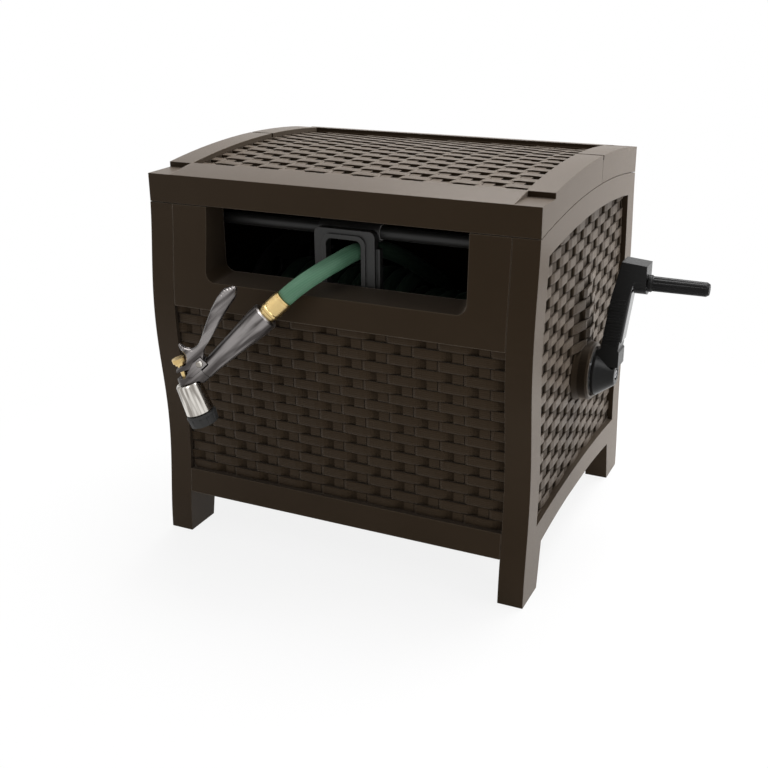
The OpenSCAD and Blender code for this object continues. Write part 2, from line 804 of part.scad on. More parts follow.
// The free hose: from the winding through the guide, over the sill and down to the nozzle
nozzle_dip = 42;
nozzle_turn = 207;
nozzle_dir = [cos(nozzle_dip) * cos(nozzle_turn), cos(nozzle_dip) * sin(nozzle_turn), -sin(nozzle_dip)];
through = unit([-11.7, -40.8, -4.5]);
inner_route = [
    hose_leave + 0.1 * wind_dir(hose_turns), hose_leave + hose_d * wind_dir(hose_turns),
    [37.9, -20.3, 377.8], [37.3, -44.1, 390.4], [35.5, -67.8, 403], [32.4, -91.6, 415.4],
    [27.9, -115.7, 426.6], [22, -140.5, 435.4], [15.1, -166.1, 439.9], [8, -192, 438.5]
];
outer_route = [
    [8, -192, 438.5] + 0.1 * through, [3.4, -206.9, 435.4], [-2.4, -221.2, 431.4], [-9.7, -234.4, 426.4],
    [-18.3, -246.2, 420], [-28, -256, 412.3], [-38.4, -263.9, 403.2], [-49, -270, 393]
];

// The hose along a route, with given directions at its ends
module hose_tube(route, first, last) {
    dirs = along(route);
    m = len(route) - 1;
    color(green) tube(route, [for (i = [0:m]) i == 0 ? first : i == m ? last : dirs[i]],
        [for (p = route) [0, 0, 1]], hose_d / 2, 10);
}

module hose_inner() {
    hose_tube(inner_route, wind_dir(hose_turns), through);
}

module hose_outer() {
    hose_tube(outer_route, through, nozzle_dir);
}

// The nozzle's own frame: X runs down the handle from the hose, Z is the trigger's side
hose_end = outer_route[len(outer_route) - 1];
coupling_len = 32;
module at_nozzle() {
    translate(hose_end) rotate([0, nozzle_dip, nozzle_turn]) translate([coupling_len, 0, 0]) children();
}

// Turns a profile of (along, radius) pairs round the handle's axis
module turned(profile, fn = 48) {
    rotate([0, 90, 0]) rotate_extrude($fn = fn) polygon([for (p = profile) [p[1], p[0]]]);
}

module hose_coupling() {
    color(brass) at_nozzle() turned([
        [-coupling_len + 0.3, 8], [-coupling_len + 0.3, 12.6], [-9, 12.6], [-8, coupling_r],
        [-5, coupling_r], [-4, 12.2], [4, 12.2], [4, 8]]);
}

module coupling_ferrule() {
    color(brass) at_nozzle() turned([
        [-coupling_len + 3, 12.7], [-coupling_len + 3, coupling_r], [-11, coupling_r], [-11, 12.7]]);
}

module coupling_washer() {
    color(black) at_nozzle() turned([[4.1, 8], [4.1, 12.4], [6.6, 12.4], [6.6, 8]]);
}

// Pivot of the trigger and axis of the spray head, in the nozzle's frame
pivot = [handle_len, 13.5];
head_tilt = 66;
head_top = [handle_len + 33, 4];
neck_r = handle_r - 8.5;

// A point of the head's own plane, across and along its axis, in the nozzle's plane
function from_head(a, b) = head_top
    + a * [sin(head_tilt), cos(head_tilt)] + b * [-cos(head_tilt), sin(head_tilt)];

module nozzle_handle() {
    color(charcoal) at_nozzle() difference() {
        turned([
            [0, 12.6], [0, handle_r - 2], [2, handle_r], [14, handle_r], [40, handle_r - 2.5],
            [72, handle_r - 5.5], [handle_len - 12, handle_r - 7.5], [handle_len + 4, neck_r + 1],
            [handle_len + 4, 0], [6.8, 0], [6.8, 12.6]]);
        translate([pivot[0] - 8, -30, pivot[1] - 9]) cube([40, 60, 30]);
    }
}

// The head's frame: Z runs up its axis, out of the top
module at_head() {
    translate([head_top[0], 0, head_top[1]]) rotate([0, head_tilt - 90, 0]) children();
}

module spray_head() {
    color(chrome) at_nozzle() at_head() rotate_extrude() polygon([
        [5, 0], [head_r - 4.5, 0], [head_r - 3, -2], [head_r - 1.2, -42], [head_r - 2.5, -44],
        [10, -44], [10, -36], [5, -36]]);
}

module bumper_ring() {
    color(black) at_nozzle() at_head() difference() {
        rotate_extrude() polygon([
            [10.2, -44.2], [head_r - 1, -44.2], [head_r + 0.5, -47], [head_r - 1, -60], [10.2, -60]]);
        for (a = [0:30:330]) rotate([0, 0, a])
            translate([head_r + 1.2, 0, -61]) cylinder(r = 2.2, h = 13, $fn = 16);
    }
}

// The gland on top of the head with the two lugs that hold the trigger's pin
lug_t = 4;
lever_w = 14;
module nozzle_neck() {
    lug = lever_w / 2 + 0.5;
    color(chrome) at_nozzle() difference() {
        union() {
            at_head() translate([0, 0, 0.2]) cylinder(r = 11, h = 9);
            difference() {
                turned([[handle_len + 4.3, 0], [handle_len + 4.3, neck_r + 1],
                    [handle_len + 30, neck_r], [handle_len + 30, 0]]);
                translate([pivot[0], -lug, pivot[1] - 9]) cube([18, 2 * lug, 30]);
            }
            for (s = [-1, 1])
                translate([0, s > 0 ? lug : -lug - lug_t, 0]) rotate([90, 0, 0]) mirror([0, 0, 1])
                    linear_extrude(lug_t) polygon([
                        [pivot[0] - 7, pivot[1] - 7], [pivot[0] - 7, pivot[1] + 6],
                        [pivot[0] + 6, pivot[1] + 7], [pivot[0] + 27, pivot[1] - 1],
                        [pivot[0] + 20, pivot[1] - 7]]);
        }
        at_head() translate([0, 0, -1]) cylinder(r = 4.3, h = 20);
        at_head() translate([0, 0, -99.8]) cylinder(r = head_r + 0.2, h = 100);
        translate([pivot[0], 30, pivot[1]]) rotate([90, 0, 0]) cylinder(r = 2.5 + running, h = 60);
    }
}

module trigger_pin() {
    len = lever_w + 1 + 2 * lug_t;
    color(steel) at_nozzle() translate([pivot[0], 0, pivot[1]]) rotate([90, 0, 0])
        cylinder(r = 2.5, h = len + 3, center = true);
}

// The trigger: a lever along the handle and a fork round the valve stem
module trigger() {
    color(charcoal) at_nozzle() difference() {
        translate([0, lever_w / 2, 0]) rotate([90, 0, 0]) linear_extrude(lever_w) polygon(concat(
            [for (p = [[-0.97, 39.5], [-0.945, 43], [-0.84, 48.5], [-0.71, 46.5], [-0.555, 40.5],
                [-0.355, 30], [-0.2, 21], [-0.12, 18]]) pivot + [p[0] * lever_len, p[1]]],
            [for (p = [[-5, 19.5], [-0.5, 26.5], [1, 36], [4.5, 36], [7, 27.5], [7.5, 19.5]])
                pivot + p],
            [from_head(-8, 24.5), from_head(-1, 26.5), from_head(7, 23.2), from_head(8, 18),
                from_head(-9, 17)],
            [for (p = [[12, -5], [0, -6.5], [-6, 0], [-17, 9]]) pivot + p],
            [for (p = [[-0.37, 15], [-0.6, 23], [-0.78, 28], [-0.88, 30], [-0.945, 35]])
                pivot + [p[0] * lever_len, p[1]]]));
        translate([pivot[0], 30, pivot[1]]) rotate([90, 0, 0]) cylinder(r = 2.5 + running, h = 60);
        at_head() translate([-6.5, -5, 12]) cube([40, 10, 18]);
    }
}

module valve_stem() {
    color(brass) at_nozzle() at_head() translate([0, 0, -34]) union() {
        cylinder(r = 4, h = 70);
        translate([0, 0, -1.5]) cylinder(r = 4.8, h = 3);
    }
}

module adjusting_nut() {
    color(brass) at_nozzle() at_head() translate([0, 0, 27]) difference() {
        union() {
            cylinder(r = 6.5, h = 3);
            translate([0, 0, 3]) cylinder(r = 8, h = 6);
        }
        translate([0, 0, -1]) cylinder(r = 4 + running, h = 12);
    }
}

module hose_guide() {
    half = guide_w / 2;
    z0 = low_rail_z - low_rail_r - 6;
    z1 = rail_zc + 5;
    color(black) translate([guide_x, 0, 0]) difference() {
        union() {
            along_y(guide_y, plate_t) rounded(-half, z0, guide_w, z1 - z0, 8);
            along_y(guide_y - 3, 4) rounded(-guide_hole_w / 2 - 6, hole_z - guide_hole_h / 2 - 6,
                guide_hole_w + 12, guide_hole_h + 12, 12);
            translate([-half, rail_y, rail_zc]) rod_x(0, guide_w, rail_r + 3.5);
            translate([-half, guide_y, z0])
                cube([guide_w, 2 * (rail_y - guide_y) - 3, low_rail_z + low_rail_r + 4 - z0]);
            // Upright ribs beside the hole
            translate([half - 1, guide_y + 5, z0 + 3]) cube([6, 10, z1 - z0 - 26]);
        }
        along_y(guide_y - 5, 60) rounded(-guide_hole_w / 2, hole_z - guide_hole_h / 2,
            guide_hole_w, guide_hole_h, 8);
        translate([-half - 1, rail_y, rail_zc]) rod_x(0, guide_w + 2, rail_r + 1.4);
        translate([-half - 1, rail_y, low_rail_z]) rod_x(0, guide_w + 8, low_rail_r + 1.4);
    }
}

// Drawing of a rectangle with round corners
module rounded(x, z, w, h, r) {
    translate([x, z]) union() {
        translate([r, 0]) square([w - 2 * r, h]);
        translate([0, r]) square([w, h - 2 * r]);
        for (cx = [r, w - r], cz = [r, h - r]) translate([cx, cz]) circle(r = r);
    }
}

// Slippery bushes between the guide and its rails
module guide_bushes() {
    len = 12;
    color([0.85, 0.85, 0.82]) for (s = [-1, 1], k = [[rail_zc, rail_r], [low_rail_z, low_rail_r]])
        translate([guide_x + s * (guide_w / 2 - len / 2) - len / 2, rail_y, k[0]]) rotate([0, 90, 0])
            difference() {
                cylinder(r = k[1] + 1.3, h = len);
                translate([0, 0, -1]) cylinder(r = k[1] + running, h = len + 2);
            }
}

// The shaft from the right flange to the crank
hub_x = side_x + boss_out + 2;
module crank_shaft() {
    x0 = flange_x - web_t - 0.5;
    color(steel) translate([0, 0, axle_z]) difference() {
        union() {
            rod_x(x0 - 1, hub_x + 22 - x0 + 1, shaft_r);
            rod_x(x0 - 4, 4, shaft_r + 5);
        }
        rod_x(hub_x + 2, 60, 2.6);
    }
}

grip_z = axle_z + crank_len;
nose = 29;
arm_half = 16;

// Inner and outer edge of the crank's arm at a share f of its length
function arm_in(f) = hub_x + 7.8 + 18.5 * (f - 0.29);
function arm_out(f) = hub_x + 32.3 + 16.5 * (f - 0.29);
module crank_arm() {
    head_x = grip_x0 - 0.5;
    color(black) union() {
        difference() {
            union() {
                translate([hub_x, 0, axle_z]) rotate([0, 90, 0]) rotate_extrude() polygon([
                    [0, 0], [hub_r, 0], [hub_r, 4], [hub_r - 2, 6.5], [shaft_r + 4, nose - 1],
                    [shaft_r + 2.5, nose], [0, nose]]);
                difference() {
                    along_y(-arm_half, 2 * arm_half) polygon([
                        [hub_x + 2, axle_z + 14], [hub_x + 34, axle_z + 15], [hub_x + 34, axle_z + 37],
                        [arm_out(0.29), axle_z + 0.29 * crank_len],
                        [arm_out(0.84), axle_z + 0.84 * crank_len], [head_x - 16, grip_z + 2.5],
                        [head_x, grip_z + 4.5], [head_x, grip_z + 26.5], [head_x - 34, grip_z + 29.5],
                        [arm_in(0.83), axle_z + 0.83 * crank_len],
                        [arm_in(0.29), axle_z + 0.29 * crank_len], [hub_x + 2, axle_z + 36.5]]);
                    // The sunk outer face of the arm
                    along_y(-arm_half + 3, 2 * arm_half - 6) polygon([
                        [arm_out(0.36) - 4, axle_z + 0.36 * crank_len],
                        [arm_out(0.36) + 9, axle_z + 0.36 * crank_len],
                        [arm_out(0.93) + 9, axle_z + 0.93 * crank_len],
                        [arm_out(0.93) - 4, axle_z + 0.93 * crank_len]]);
                }
                translate([0, 0, grip_z]) rod_x(head_x - 17, 17, arm_half - 0.6);
            }
            translate([hub_x - 1, 0, axle_z]) rod_x(0, 23.3, shaft_r + running);
            translate([hub_x, 0, axle_z]) rod_x(0, 60, 2.8);
            translate([hub_x, 0, axle_z]) rod_x(25, 20, 8.2);
        }
        // The stud that the grip turns on
        translate([grip_x0 - 2, 0, grip_z]) rod_x(0, grip_len - 8, 5.5);
        // Fine ribs across the front of the arm
        for (k = [0:15]) let (f = 0.34 + 0.032 * k)
            translate([arm_in(f) + 2, -arm_half - 0.7, axle_z + f * crank_len])
                cube([arm_out(f) - arm_in(f) - 4, 1.2, 1.6]);
    }
}

module crank_screw() {
    color(steel) translate([hub_x + 25.2, 0, axle_z]) rotate([0, 90, 0]) union() {
        difference() {
            cylinder(r1 = 7, r2 = 5.5, h = 3.4);
            translate([-6, -0.8, 2]) cube([12, 1.6, 4]);
            translate([-0.8, -6, 2]) cube([1.6, 12, 4]);
        }
        translate([0, 0, -22]) cylinder(r = 2.5, h = 22 + eps);
    }
}

module crank_grip() {
    color(black) translate([grip_x0 + 0.3, 0, grip_z]) rotate([0, 90, 0]) difference() {
        rotate_extrude() polygon([
            [0, 0], [grip_r + 1.4, 0], [grip_r + 1.4, 4], [grip_r, 5.5], [grip_r - 0.6, grip_len - 4],
            [grip_r - 2.9, grip_len - 0.3], [0, grip_len - 0.3]]);
        translate([0, 0, -1]) cylinder(r = 5.5 + running, h = grip_len - 8);
        for (a = [0:30:330]) rotate([0, 0, a])
            translate([grip_r + 1, 0, 7]) cylinder(r = 2, h = grip_len, $fn = 16);
    }
}

// Screws that hold the front and back panels to the side panels' lips, from inside
module panel_screws() {
    color(steel) for (t = [0, 1], s = [-1, 1], z = screw_z) mirror([0, t, 0])
        translate([s * (post_x - lip_w / 2), swell(z) - panel_t - seam - lip_t - 0.7, z])
            rotate([90, 0, 0]) {
                cylinder(r = 4, h = 3);
                translate([0, 0, -11]) cylinder(r = 1.8, h = 12);
            }
}

in_frame() left_side_panel();
in_frame() right_side_panel();
in_frame() front_panel();
in_frame() back_panel();
in_frame() base_tray();
in_frame() rear_deck();
in_frame() upper_guide_rail();
in_frame() lower_guide_rail();
in_frame() left_bearing();
in_frame() right_bearing();
in_frame() inlet_fitting();
in_frame() inlet_seals();
in_frame() panel_screws();
in_frame() hinge_pins();
in_frame() front_lid();
in_frame() drum();
in_frame() left_flange();
in_frame() right_flange();
in_frame() outlet_fitting();
in_frame() drum_screws();
in_frame() hose_core();
in_frame() hose_winding();
in_frame() crank_shaft();
in_frame() crank_arm();
in_frame() crank_screw();
in_frame() crank_grip();
in_frame() hose_guide();
in_frame() guide_bushes();
in_frame() hose_inner();
in_frame() hose_outer();
in_frame() hose_coupling();
in_frame() coupling_ferrule();
in_frame() coupling_washer();
in_frame() nozzle_handle();
in_frame() spray_head();
in_frame() bumper_ring();
in_frame() nozzle_neck();
in_frame() trigger_pin();
in_frame() trigger();
in_frame() valve_stem();
in_frame() adjusting_nut();
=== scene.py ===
import bpy
import bmesh
import math
from typing import NamedTuple
from mathutils import Matrix, Vector
from mathutils.kdtree import KDTree


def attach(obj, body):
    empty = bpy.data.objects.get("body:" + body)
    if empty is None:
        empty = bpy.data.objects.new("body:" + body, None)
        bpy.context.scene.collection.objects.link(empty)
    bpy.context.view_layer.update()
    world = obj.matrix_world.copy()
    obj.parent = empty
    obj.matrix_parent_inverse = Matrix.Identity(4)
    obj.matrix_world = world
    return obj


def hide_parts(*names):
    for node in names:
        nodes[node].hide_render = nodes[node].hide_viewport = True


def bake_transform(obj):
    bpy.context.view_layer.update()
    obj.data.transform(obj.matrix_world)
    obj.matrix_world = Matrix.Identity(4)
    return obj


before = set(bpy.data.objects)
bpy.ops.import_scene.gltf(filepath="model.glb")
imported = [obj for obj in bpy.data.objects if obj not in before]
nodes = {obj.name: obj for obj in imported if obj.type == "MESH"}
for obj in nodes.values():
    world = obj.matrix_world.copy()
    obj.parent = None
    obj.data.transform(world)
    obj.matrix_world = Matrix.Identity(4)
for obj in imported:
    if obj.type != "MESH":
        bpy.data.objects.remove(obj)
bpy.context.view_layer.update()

# Sizes of the cabinet in millimetres, from the middle of its floor, as the model has them
SHIFT_X = -62.0  # how far the cabinet's middle is from the middle of the whole object
SIDE_X = 277.0  # half width
SWELL_MID = 237.0  # half depth in the middle of the posts' long S
SWELL_AMP = 6.2
SWELL_Z = 340.0  # height at which the posts stand out most
SWELL_HALF = 175.0  # from there to where they stand in most
CROWN_Z = 549.0  # top of the lid
CROWN_R = 1500.0
POST_D = 38.0
BAND_W = 37.0  # smooth bands along the lid's sides
RAIL_TOP = 99.0
RAIL_RISE = 9.0  # how much the side rails arch up
FIELD_HALF = SWELL_MID - POST_D
FIELD_RECESS = 7.0  # depth of the side and lid fields below their frame
SIDE_FIELD_R = 1429.0  # radius of the upper edge of a side's field
LID_FIELD_Y = 178.0  # front and rear edge of the lid's field
FRONT_FIELD_Z = 352.0  # upper edge of the front's field
BACK_FIELD_Z = 440.0

# The weave, and the ridge where it swells out over the boss on each side, measured from the axle
ROW_PITCH = 14.2
STAKE_PITCH = 35.5
STAKE_W = 14.5
LINE_PITCH = 2.6  # fine lines along a ribbon
STAKE_LINE_PITCH = 2.4  # and up a stake
RIDGE_H = 15.0
RIDGE_MID = 8.0  # how far back its middle lies
RIDGE_WIDTH = 40.0
RIDGE_START = 35.0  # height where it starts
RIDGE_TOP = 40.0  # height where it stands out most
RIDGE_RUN = 140.0  # height over which it dies away

# The reel, its hose and the crank
AXLE_Z = 253.0
FLANGE_X = 192.0
CORE_R = 90.0
BOSS_FOOT_R = 44.0
HOSE_R = 11.5
HOSE_TURNS = 9
TURN_PITCH = 2.0 * HOSE_R + 0.8
WIND_R = CORE_R + HOSE_R + 1.5
WIND_X0 = -FLANGE_X + HOSE_R + 2.0
LEAVE_A = math.radians(64)  # angle about the axle at which the hose leaves the reel
HUB_X = SIDE_X + 17.0
CRANK_LEN = 136.0

# The nozzle, from the end of its hose
HOSE_END = (-49, -270, 393)
COUPLING_LEN = 32.0
HANDLE_LEN = 108.0
PIVOT_RISE = 13.5  # the lever's pivot above the handle's axis
HEAD_AHEAD = 33.0
HEAD_RISE = 4.0
NOZZLE_TURN = math.radians(207)
NOZZLE_DIP = math.radians(42)
HEAD_TILT = math.radians(-24)


def mm(x, y, z):
    """A point of the cabinet, given in millimetres, in metres in the frame."""
    return Vector(((x + SHIFT_X) / 1000.0, y / 1000.0, z / 1000.0))


def moved(x, y, z):
    """A move given in millimetres."""
    return Matrix.Translation((x / 1000.0, y / 1000.0, z / 1000.0))


# X runs down the nozzle's handle with Z on its lever's side, and Z runs up the axis of its head
NOZZLE = Matrix.Translation(mm(*HOSE_END)) @ Matrix.Rotation(NOZZLE_TURN, 4, "Z") \
    @ Matrix.Rotation(NOZZLE_DIP, 4, "Y") @ moved(COUPLING_LEN, 0, 0)
HEAD = NOZZLE @ moved(HANDLE_LEN + HEAD_AHEAD, 0, HEAD_RISE) @ Matrix.Rotation(HEAD_TILT, 4, "Y")

# Camera, at the place and angle from which the photograph was taken
CAMERA_AT = (651.0, -1447.3, 805.8)
YAW = math.radians(25.4233)
PITCH = math.radians(21.3006)
ROLL = math.radians(-0.499)
FOCAL_PIXELS = 1107.339
PHOTO_PIXELS = 768.0
SENSOR = 36.0
forward = Vector((-math.sin(YAW) * math.cos(PITCH), math.cos(YAW) * math.cos(PITCH), -math.sin(PITCH)))
level = Vector((math.cos(YAW), math.sin(YAW), 0.0))
upright = level.cross(forward)
across = math.cos(ROLL) * level + math.sin(ROLL) * upright
upward = math.cos(ROLL) * upright - math.sin(ROLL) * level
camera_data = bpy.data.cameras.new("camera")
camera_data.sensor_width = SENSOR
camera_data.sensor_height = SENSOR
camera_data.lens = FOCAL_PIXELS / PHOTO_PIXELS * SENSOR
camera_data.clip_end = 30.0
camera = bpy.data.objects.new("camera", camera_data)
camera.matrix_world = Matrix.Translation(mm(*CAMERA_AT)) @ Matrix((
    (across.x, upward.x, -forward.x, 0),
    (across.y, upward.y, -forward.y, 0),
    (across.z, upward.z, -forward.z, 0),
    (0, 0, 0, 1)))
bpy.context.scene.collection.objects.link(camera)
bpy.context.scene.camera = camera


class Tap:
    """A socket of a shader tree that can be used in sums, so that a finish reads like a formula."""

    def __init__(self, owner, socket):
        self.owner = owner
        self.socket = socket

    def __add__(self, other):
        return self.owner.maths("ADD", self, other)

    def __radd__(self, other):
        return self.owner.maths("ADD", other, self)

    def __sub__(self, other):
        return self.owner.maths("SUBTRACT", self, other)

    def __rsub__(self, other):
        return self.owner.maths("SUBTRACT", other, self)

    def __mul__(self, other):
        return self.owner.maths("MULTIPLY", self, other)

    def __rmul__(self, other):
        return self.owner.maths("MULTIPLY", other, self)

    def __truediv__(self, other):
        return self.owner.maths("DIVIDE", self, other)

    def __rtruediv__(self, other):
        return self.owner.maths("DIVIDE", other, self)

    def __pow__(self, other):
        return self.owner.maths("POWER", self, other)

    def __rpow__(self, other):
        return self.owner.maths("POWER", other, self)


class ShaderTree:
    """A shader tree under construction, with helpers for its nodes."""

    def __init__(self, tree):
        self.tree = tree

    def node(self, kind, settings=None, inputs=None):
        """Adds a node: its settings come first, then the values or taps of its sockets, by name or number."""
        made = self.tree.nodes.new(kind)
        for key, value in (settings or {}).items():
            setattr(made, key, value)
        for key, value in (inputs or {}).items():
            self.feed(made.inputs[key], value)
        return made

    def feed(self, socket, value):
        """Gives a socket a tap or a plain value."""
        if isinstance(value, Tap):
            self.tree.links.new(value.socket, socket)
        else:
            socket.default_value = value

    def tap(self, made, output=0):
        return Tap(self, made.outputs[output])

    def maths(self, operation, first, second=None):
        """One Math node."""
        values = {0: first} if second is None else {0: first, 1: second}
        return self.tap(self.node("ShaderNodeMath", {"operation": operation}, values))

    def seen_itself(self):
        """1 for a ray from the camera, a reflection or glass, and 0 for one that only brings light."""
        path = self.node("ShaderNodeLightPath")
        camera_ray, glossy_ray, glass_ray = [
            self.tap(path, ray) for ray in ("Is Camera Ray", "Is Glossy Ray", "Is Transmission Ray")]
        return self.maths("MAXIMUM", camera_ray, self.maths("MAXIMUM", glossy_ray, glass_ray))


class Finish(ShaderTree):
    """A material under construction."""

    def __init__(self, name):
        self.material = bpy.data.materials.new(name)
        self.material.use_nodes = True
        super().__init__(self.material.node_tree)
        self.shader = self.tree.nodes["Principled BSDF"]

    def size_of(self, value):
        """A number without its sign."""
        return self.maths("ABSOLUTE", value)

    def fraction(self, value):
        """What is left of a number above the whole number below it."""
        return self.maths("FRACT", value)

    def wave(self, value, pitch):
        """0 to 1 and back, once in each pitch."""
        return self.maths("SINE", value * (2.0 * math.pi / pitch)) * 0.5 + 0.5

    def step(self, value, low, high):
        """0 below low, 1 above high and smooth between."""
        made = self.node("ShaderNodeMapRange", {"interpolation_type": "SMOOTHSTEP"}, {
            "Value": value, "From Min": low, "From Max": high})
        return self.tap(made, "Result")

    def place(self):
        """The point on the object in millimetres of the cabinet, as three taps."""
        coords = self.node("ShaderNodeTexCoord")
        apart = self.node("ShaderNodeSeparateXYZ", None, {"Vector": self.tap(coords, "Object")})
        x = self.tap(apart, "X") * 1000.0 - SHIFT_X
        return x, self.tap(apart, "Y") * 1000.0, self.tap(apart, "Z") * 1000.0

    def point(self, x, y, z):
        """A vector made of three taps or numbers."""
        made = self.node("ShaderNodeCombineXYZ", None, {"X": x, "Y": y, "Z": z})
        return self.tap(made)

    def noise(self, where, scale, detail, rough=0.5):
        """Clouds from 0 to 1, with scale of them to each unit of where."""
        made = self.node("ShaderNodeTexNoise", None, {
            "Vector": where, "Scale": scale, "Detail": detail, "Roughness": rough})
        return self.tap(made, "Fac")

    def streaks(self, own_frame, reach, axis):
        """0 to 1 in streaks along an axis of a round piece, given its frame, used as painted reflections;
        reach is their width.
        """
        x, y, z = self.place()
        inward = own_frame.inverted()
        own = [(x + SHIFT_X) * inward[i][0] + y * inward[i][1] + z * inward[i][2] + inward[i][3] * 1000.0
               for i in range(3)]
        own = [part * (0.1 / reach if i == axis else 1.0 / reach) for i, part in enumerate(own)]
        return self.step(self.noise(self.point(*own), scale=1.0, detail=2.0), 0.36, 0.62)

    def mix(self, share, first, second):
        """A colour or a normal between two others."""
        return self.tap(self.node("ShaderNodeMix", {"data_type": "RGBA"}, {0: share, 6: first, 7: second}), 2)

    def rounded(self, radius):
        """The normal that a small rounding of every edge would have."""
        return self.tap(self.node("ShaderNodeBevel", {"samples": 4}, {"Radius": radius}))

    def flat(self):
        """The surface's own normal."""
        return self.tap(self.node("ShaderNodeNewGeometry"), "Normal")

    def near_edge(self, soft_normal):
        """1 where a rounded edge turns away from the flat around it."""
        made = self.node("ShaderNodeVectorMath", {"operation": "DOT_PRODUCT"}, {
            0: soft_normal, 1: self.flat()})
        return self.step(1.0 - self.tap(made, "Value"), 0.01, 0.12)

    def facing(self, axis):
        """How squarely the surface faces along one of the object's own axes, either way, from 0 to 1."""
        coords = self.node("ShaderNodeTexCoord")
        apart = self.node("ShaderNodeSeparateXYZ", None, {"Vector": self.tap(coords, "Normal")})
        return self.size_of(self.tap(apart, axis))

    def relief(self, height, depth, under=None):
        """A bump of a height from 0 to 1 that stands depth metres high, over another normal or none."""
        values = {"Height": height, "Distance": depth, "Strength": 1.0}
        if under is not None:
            values["Normal"] = under
        return self.tap(self.node("ShaderNodeBump", None, values))

    def cover(self, share, layer):
        """Another shader over the finish, where share is 1."""
        both = self.node("ShaderNodeMixShader", None, {
            "Fac": share, 1: self.tap(self.shader), 2: self.tap(layer)})
        self.feed(self.tree.nodes["Material Output"].inputs["Surface"], self.tap(both))

    def done(self, **sockets):
        """Feeds the shader and returns the material."""
        for key, value in sockets.items():
            self.feed(self.shader.inputs[key.replace("_", " ")], value)
        return self.material


def shade(red, green, blue):
    return (red, green, blue, 1.0)


WHITE = shade(1.0, 1.0, 1.0)
BROWN = shade(0.0172, 0.0105, 0.0052)
BROWN_PALE = shade(0.0325, 0.0214, 0.0124)
# Painted shade, for the pits, the ribbons' edges and the boss
BROWN_PAINTED_SHADE = shade(0.004, 0.0028, 0.0016)
# Paler, for worn edges, which partly stands for a painted highlight along them
BROWN_WORN_HIGHLIGHT = shade(0.110, 0.088, 0.065)

# Radius of the rounding on the moulded edges, in metres
EDGE_RADIUS = 0.0013
FRONT_EDGE_RADIUS = 1.7 * EDGE_RADIUS


class Field(NamedTuple):
    """A woven field as its finish sees it: places in millimetres, and shares from 0 to 1."""

    along: Tap  # place along the ribbons
    rising: Tap  # place across the rows
    deep: Tap  # how far the surface lies in from the frame
    woven: Tap  # 1 in the field, 0 on the frame round it
    pit: Tap  # 1 at the bottom of a pit
    row: Tap  # which row, with what is left over as the place in it
    pit_shade: float  # how much painted shade the pits get
    boss_shade: object = 0.0  # how much painted shade lies over the boss


def swell(f, z):
    """Half depth of the cabinet at a height: the long S of its posts."""
    return f.maths("COSINE", (z - SWELL_Z) * (math.pi / SWELL_HALF)) * SWELL_AMP + SWELL_MID


def crown_radius(f, y, z):
    """Distance of a point from the line that the lid's crown is centred on."""
    up = z - (CROWN_Z - CROWN_R)
    return f.maths("SQRT", y * y + up * up)


def side_field(f, x, y, z):
    """The field of a side, with the swelling over the boss taken off."""
    rising = z - AXLE_Z
    climb = f.maths("MINIMUM", f.maths("MAXIMUM", (rising - RIDGE_TOP) / RIDGE_RUN, 0.0), 1.0)
    started = f.step(rising, RIDGE_START - 1.0, RIDGE_START + 1.0)
    ridge = started * f.maths("COSINE", climb * (math.pi / 2.0)) ** 2.0 * RIDGE_H
    aside = y - RIDGE_MID
    bulge = ridge * f.maths("EXPONENT", aside * aside * (-1.0 / RIDGE_WIDTH ** 2))
    deep = SIDE_X - f.size_of(x) + bulge
    between_posts = 1.0 - f.step(f.size_of(y) - swell(f, z), -POST_D - 0.6, -POST_D + 0.1)
    under_arch = 1.0 - f.step(crown_radius(f, y, z), SIDE_FIELD_R - 1.4, SIDE_FIELD_R - 0.4)
    over_rail = f.step(z + y * y * (RAIL_RISE / (FIELD_HALF * FIELD_HALF)),
                       RAIL_TOP + RAIL_RISE - 0.5, RAIL_TOP + RAIL_RISE + 0.5)
    from_axle = f.maths("SQRT", y * y + rising * rising)
    off_boss = f.step(from_axle, BOSS_FOOT_R - 0.5, BOSS_FOOT_R + 0.5)
    woven = f.step(deep, 2.4, 3.6) * (between_posts * under_arch) * over_rail * off_boss
    # Painted shade over the boss and just round its foot
    boss_shade = (1.0 - f.step(from_axle, BOSS_FOOT_R - 1.5, BOSS_FOOT_R + 2.0)) * 0.75
    return Field(along=y, rising=rising, deep=deep, woven=woven, pit=f.step(deep, 8.2, 9.8) * woven,
                 row=rising / ROW_PITCH + 0.5, pit_shade=0.8, boss_shade=boss_shade)


def front_field(f, x, y, z):
    """The fields of the front and the back, which curve with the posts."""
    deep = swell(f, z) - f.size_of(y)
    rising = z - RAIL_TOP
    field_top = f.step(y, -1.0, 1.0) * (BACK_FIELD_Z - FRONT_FIELD_Z) + FRONT_FIELD_Z
    over_rail = f.step(z, RAIL_TOP - 0.5, RAIL_TOP + 0.5)
    under_band = 1.0 - f.step(z - field_top, 0.0, 1.0)
    woven = f.step(deep, 0.4, 1.2) * over_rail * under_band * (1.0 - f.step(deep, 12.0, 13.0))
    return Field(along=x, rising=rising, deep=deep, woven=woven, pit=f.step(deep, 7.4, 9.4) * woven,
                 row=rising / ROW_PITCH, pit_shade=0.28)


def lid_field(f, x, y, z):
    """The field of the lid and of the deck behind it, measured along its crown."""
    field_r = CROWN_R - FIELD_RECESS
    field_x = SIDE_X - BAND_W
    deep = CROWN_R - crown_radius(f, y, z)
    rising = y + y * y * y / (6.0 * field_r * field_r)
    inside = (1.0 - f.step(f.size_of(x), field_x - 0.5, field_x + 0.5)) \
        * (1.0 - f.step(f.size_of(y), LID_FIELD_Y, LID_FIELD_Y + 1.0))
    woven = f.step(deep, 5.0, 6.6) * inside * (1.0 - f.step(deep, 13.5, 14.5))
    return Field(along=x, rising=rising, deep=deep, woven=woven, pit=f.step(deep, 8.6, 11.0) * woven,
                 row=rising / ROW_PITCH + 0.5, pit_shade=0.15)


